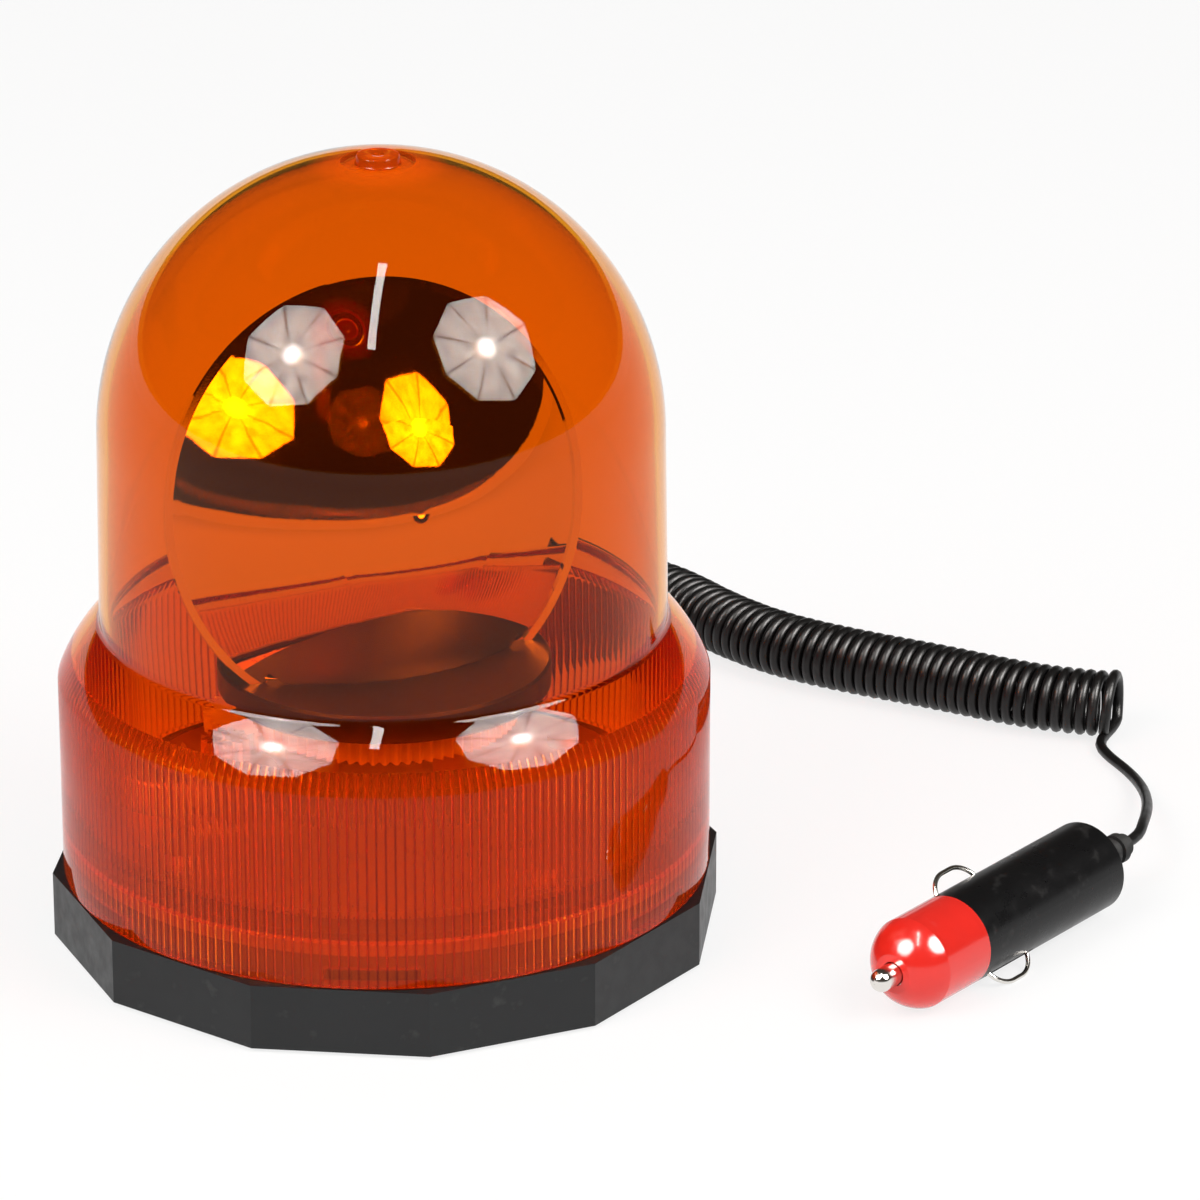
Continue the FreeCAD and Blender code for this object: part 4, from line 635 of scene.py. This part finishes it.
def stage_mesh(name, points, faces, material, camera=False, diffuse=True):
    """A piece of the studio that the camera may or may not see."""
    mesh = bpy.data.meshes.new(name)
    mesh.from_pydata(points, [], faces)
    mesh.materials.append(material)
    item = bpy.data.objects.new(name, mesh)
    scene.collection.objects.link(item)
    item.visible_camera = camera
    item.visible_diffuse = diffuse
    item.visible_shadow = camera
    return item


def aim_from(direction, distance):
    """Placement that far out from the subject, with +Z towards it."""
    direction = Vector(direction).normalized()
    turn = (-direction).to_track_quat("Z", "Y").to_matrix().to_4x4()
    return Matrix.Translation(SUBJECT + direction * distance) @ turn


def umbrella_light():
    """Lit cloth: hot in the middle, dark along the eight ribs, and brighter where a surface mirrors it."""
    material, tree, output = new_material("umbrella_cloth")
    split = node(tree, "SeparateXYZ", {"Vector": object_place(tree)}).outputs
    wave = ribs_round(tree, split["X"], split["Y"], GORES)
    flat = node(tree, "CombineXYZ", {"X": split["X"], "Y": split["Y"]}).outputs[0]
    radius = node(tree, "VectorMath", {0: flat}, operation="LENGTH").outputs["Value"]
    ribs = spread(tree, wave, 0.35, 1.0, 0.0, 0.22)
    falloff = spread(tree, radius, 1.0, 0.55, 0.05, UMBRELLA_R)
    spot = spread(tree, radius, 2.2, 0.0, 0.02, 0.13)
    folds = spread(tree, noise(tree, 7.0, 4.0), 0.65, 1.25, 0.3, 0.7)
    cloth = maths(tree, "MULTIPLY", maths(tree, "MULTIPLY", ribs, falloff), folds)
    rays = node(tree, "LightPath").outputs
    mirrored = maths(tree, "SUBTRACT", rays["Is Glossy Ray"], rays["Is Transmission Ray"], use_clamp=True)
    level = spread(tree, rays["Is Transmission Ray"], UMBRELLA_LEVEL, UMBRELLA_BEHIND_GLASS)
    level = spread(tree, mirrored, level, UMBRELLA_IMAGE)
    strength = maths(tree, "MULTIPLY", maths(tree, "ADD", cloth, spot), level)
    lit = node(tree, "Emission", {"Color": (1.0, 0.97, 0.94, 1), "Strength": strength})
    tree.links.new(lit.outputs[0], output.inputs["Surface"])
    return material


def glow(name, colour, strength):
    """A plain light-giving material."""
    material, tree, output = new_material(name)
    lit = node(tree, "Emission", {"Color": (*colour, 1), "Strength": strength})
    tree.links.new(lit.outputs[0], output.inputs["Surface"])
    return material


def add_umbrellas():
    """Two eight-sided umbrella lights over the camera's shoulders."""
    cloth = umbrella_light()
    rings, across = 10, 4
    for name, direction in UMBRELLAS.items():
        points, faces = [(0, 0, -UMBRELLA_SAG)], []
        count = GORES * across
        for step in range(1, rings + 1):
            share = step / rings
            for index in range(count):
                angle = 2 * math.pi * index / count
                local = (angle + math.pi / GORES) % (2 * math.pi / GORES) - math.pi / GORES
                edge = share * UMBRELLA_R * math.cos(math.pi / GORES) / math.cos(math.pi / GORES - abs(local))
                depth = -UMBRELLA_SAG * (1 - share ** 2)
                points.append((edge * math.cos(angle), edge * math.sin(angle), depth))
        for index in range(count):
            faces.append((0, 1 + index, 1 + (index + 1) % count))
        for step in range(rings - 1):
            low, high = 1 + step * count, 1 + (step + 1) * count
            for index in range(count):
                after = (index + 1) % count
                faces.append((low + index, high + index, high + after, low + after))
        umbrella = stage_mesh(name, points, faces, cloth)
        umbrella.matrix_world = aim_from(direction, UMBRELLA_FAR)


def direction_at(azimuth, elevation):
    """Unit direction: azimuth 0 is -Y and grows towards +X, in degrees."""
    azimuth, elevation = math.radians(azimuth), math.radians(elevation)
    flat = math.cos(elevation)
    return Vector((math.sin(azimuth) * flat, -math.cos(azimuth) * flat, math.sin(elevation)))


STRIP_ENDS = ((3, 52), (60, 88.5))
STRIP_HALF_WIDTH = 0.04
STRIP_STEPS = 12
STRIP_LEVEL = 46.0
DARK_FAR = 2.2
DARK_ELEVATIONS = (3, 90)
DARK_STEPS = (48, 12)
DARK_LEVEL = 0.05
FLOOR_WHITE = 0.8
FILL_LEVEL = 0.45


def add_strip():
    """Narrow strip light from the camera's side to overhead, seen in mirrors and shiny surfaces only."""
    first, last = (direction_at(*end) for end in STRIP_ENDS)
    side = first.cross(last).normalized() * STRIP_HALF_WIDTH
    points = []
    for step in range(STRIP_STEPS + 1):
        spot = SUBJECT + first.lerp(last, step / STRIP_STEPS).normalized() * UMBRELLA_FAR
        points.extend((spot - side, spot + side))
    faces = [(2 * step, 2 * step + 1, 2 * step + 3, 2 * step + 2) for step in range(STRIP_STEPS)]
    light = glow("strip", (1, 0.95, 0.9), STRIP_LEVEL)
    strip = stage_mesh("strip_light", points, faces, light, diffuse=False)
    strip.visible_transmission = False


def add_dark_room():
    """Dark walls and ceiling all round, for mirrors and glass only."""
    columns, rows = DARK_STEPS
    points, faces = [], []
    for elevation in np.linspace(*DARK_ELEVATIONS, rows + 1):
        for azimuth in np.linspace(-180, 180, columns + 1):
            points.append(SUBJECT + direction_at(azimuth, elevation) * DARK_FAR)
    for row in range(rows):
        for column in range(columns):
            corner = row * (columns + 1) + column
            faces.append((corner, corner + 1, corner + columns + 2, corner + columns + 1))
    stage_mesh("dark_room", points, faces, glow("dark_room", (1, 0.85, 0.7), DARK_LEVEL), diffuse=False)


def add_floor():
    """Pale floor that keeps the object's shadow."""
    material, tree, output = new_material("floor")
    paint = node(tree, "BsdfDiffuse", {"Color": (0.92, 0.92, 0.92, 1)})
    white = node(tree, "Emission", {"Color": (1, 1, 1, 1), "Strength": 1.0})
    share = spread(tree, background_rays(tree), 0.0, FLOOR_WHITE)
    mix = node(tree, "MixShader", {0: share, 1: paint.outputs[0], 2: white.outputs[0]})
    tree.links.new(mix.outputs[0], output.inputs["Surface"])
    half = FLOOR_HALF
    corners = [(-half, -half, 0), (half, -half, 0), (half, half, 0), (-half, half, 0)]
    stage_mesh("floor", corners, [(0, 1, 2, 3)], material, camera=True)


def light_world():
    """White for the camera, mirrors and glass, and a soft fill for the rest."""
    world = bpy.data.worlds.new("world")
    scene.world = world
    world.use_nodes = True
    tree = world.node_tree
    tree.nodes.clear()
    strength = spread(tree, background_rays(tree), FILL_LEVEL, 1.0)
    back = node(tree, "Background", {"Color": (1, 1, 1, 1), "Strength": strength})
    output = node(tree, "OutputWorld")
    tree.links.new(back.outputs[0], output.inputs["Surface"])


add_umbrellas()
add_strip()
add_dark_room()
add_floor()
light_world()
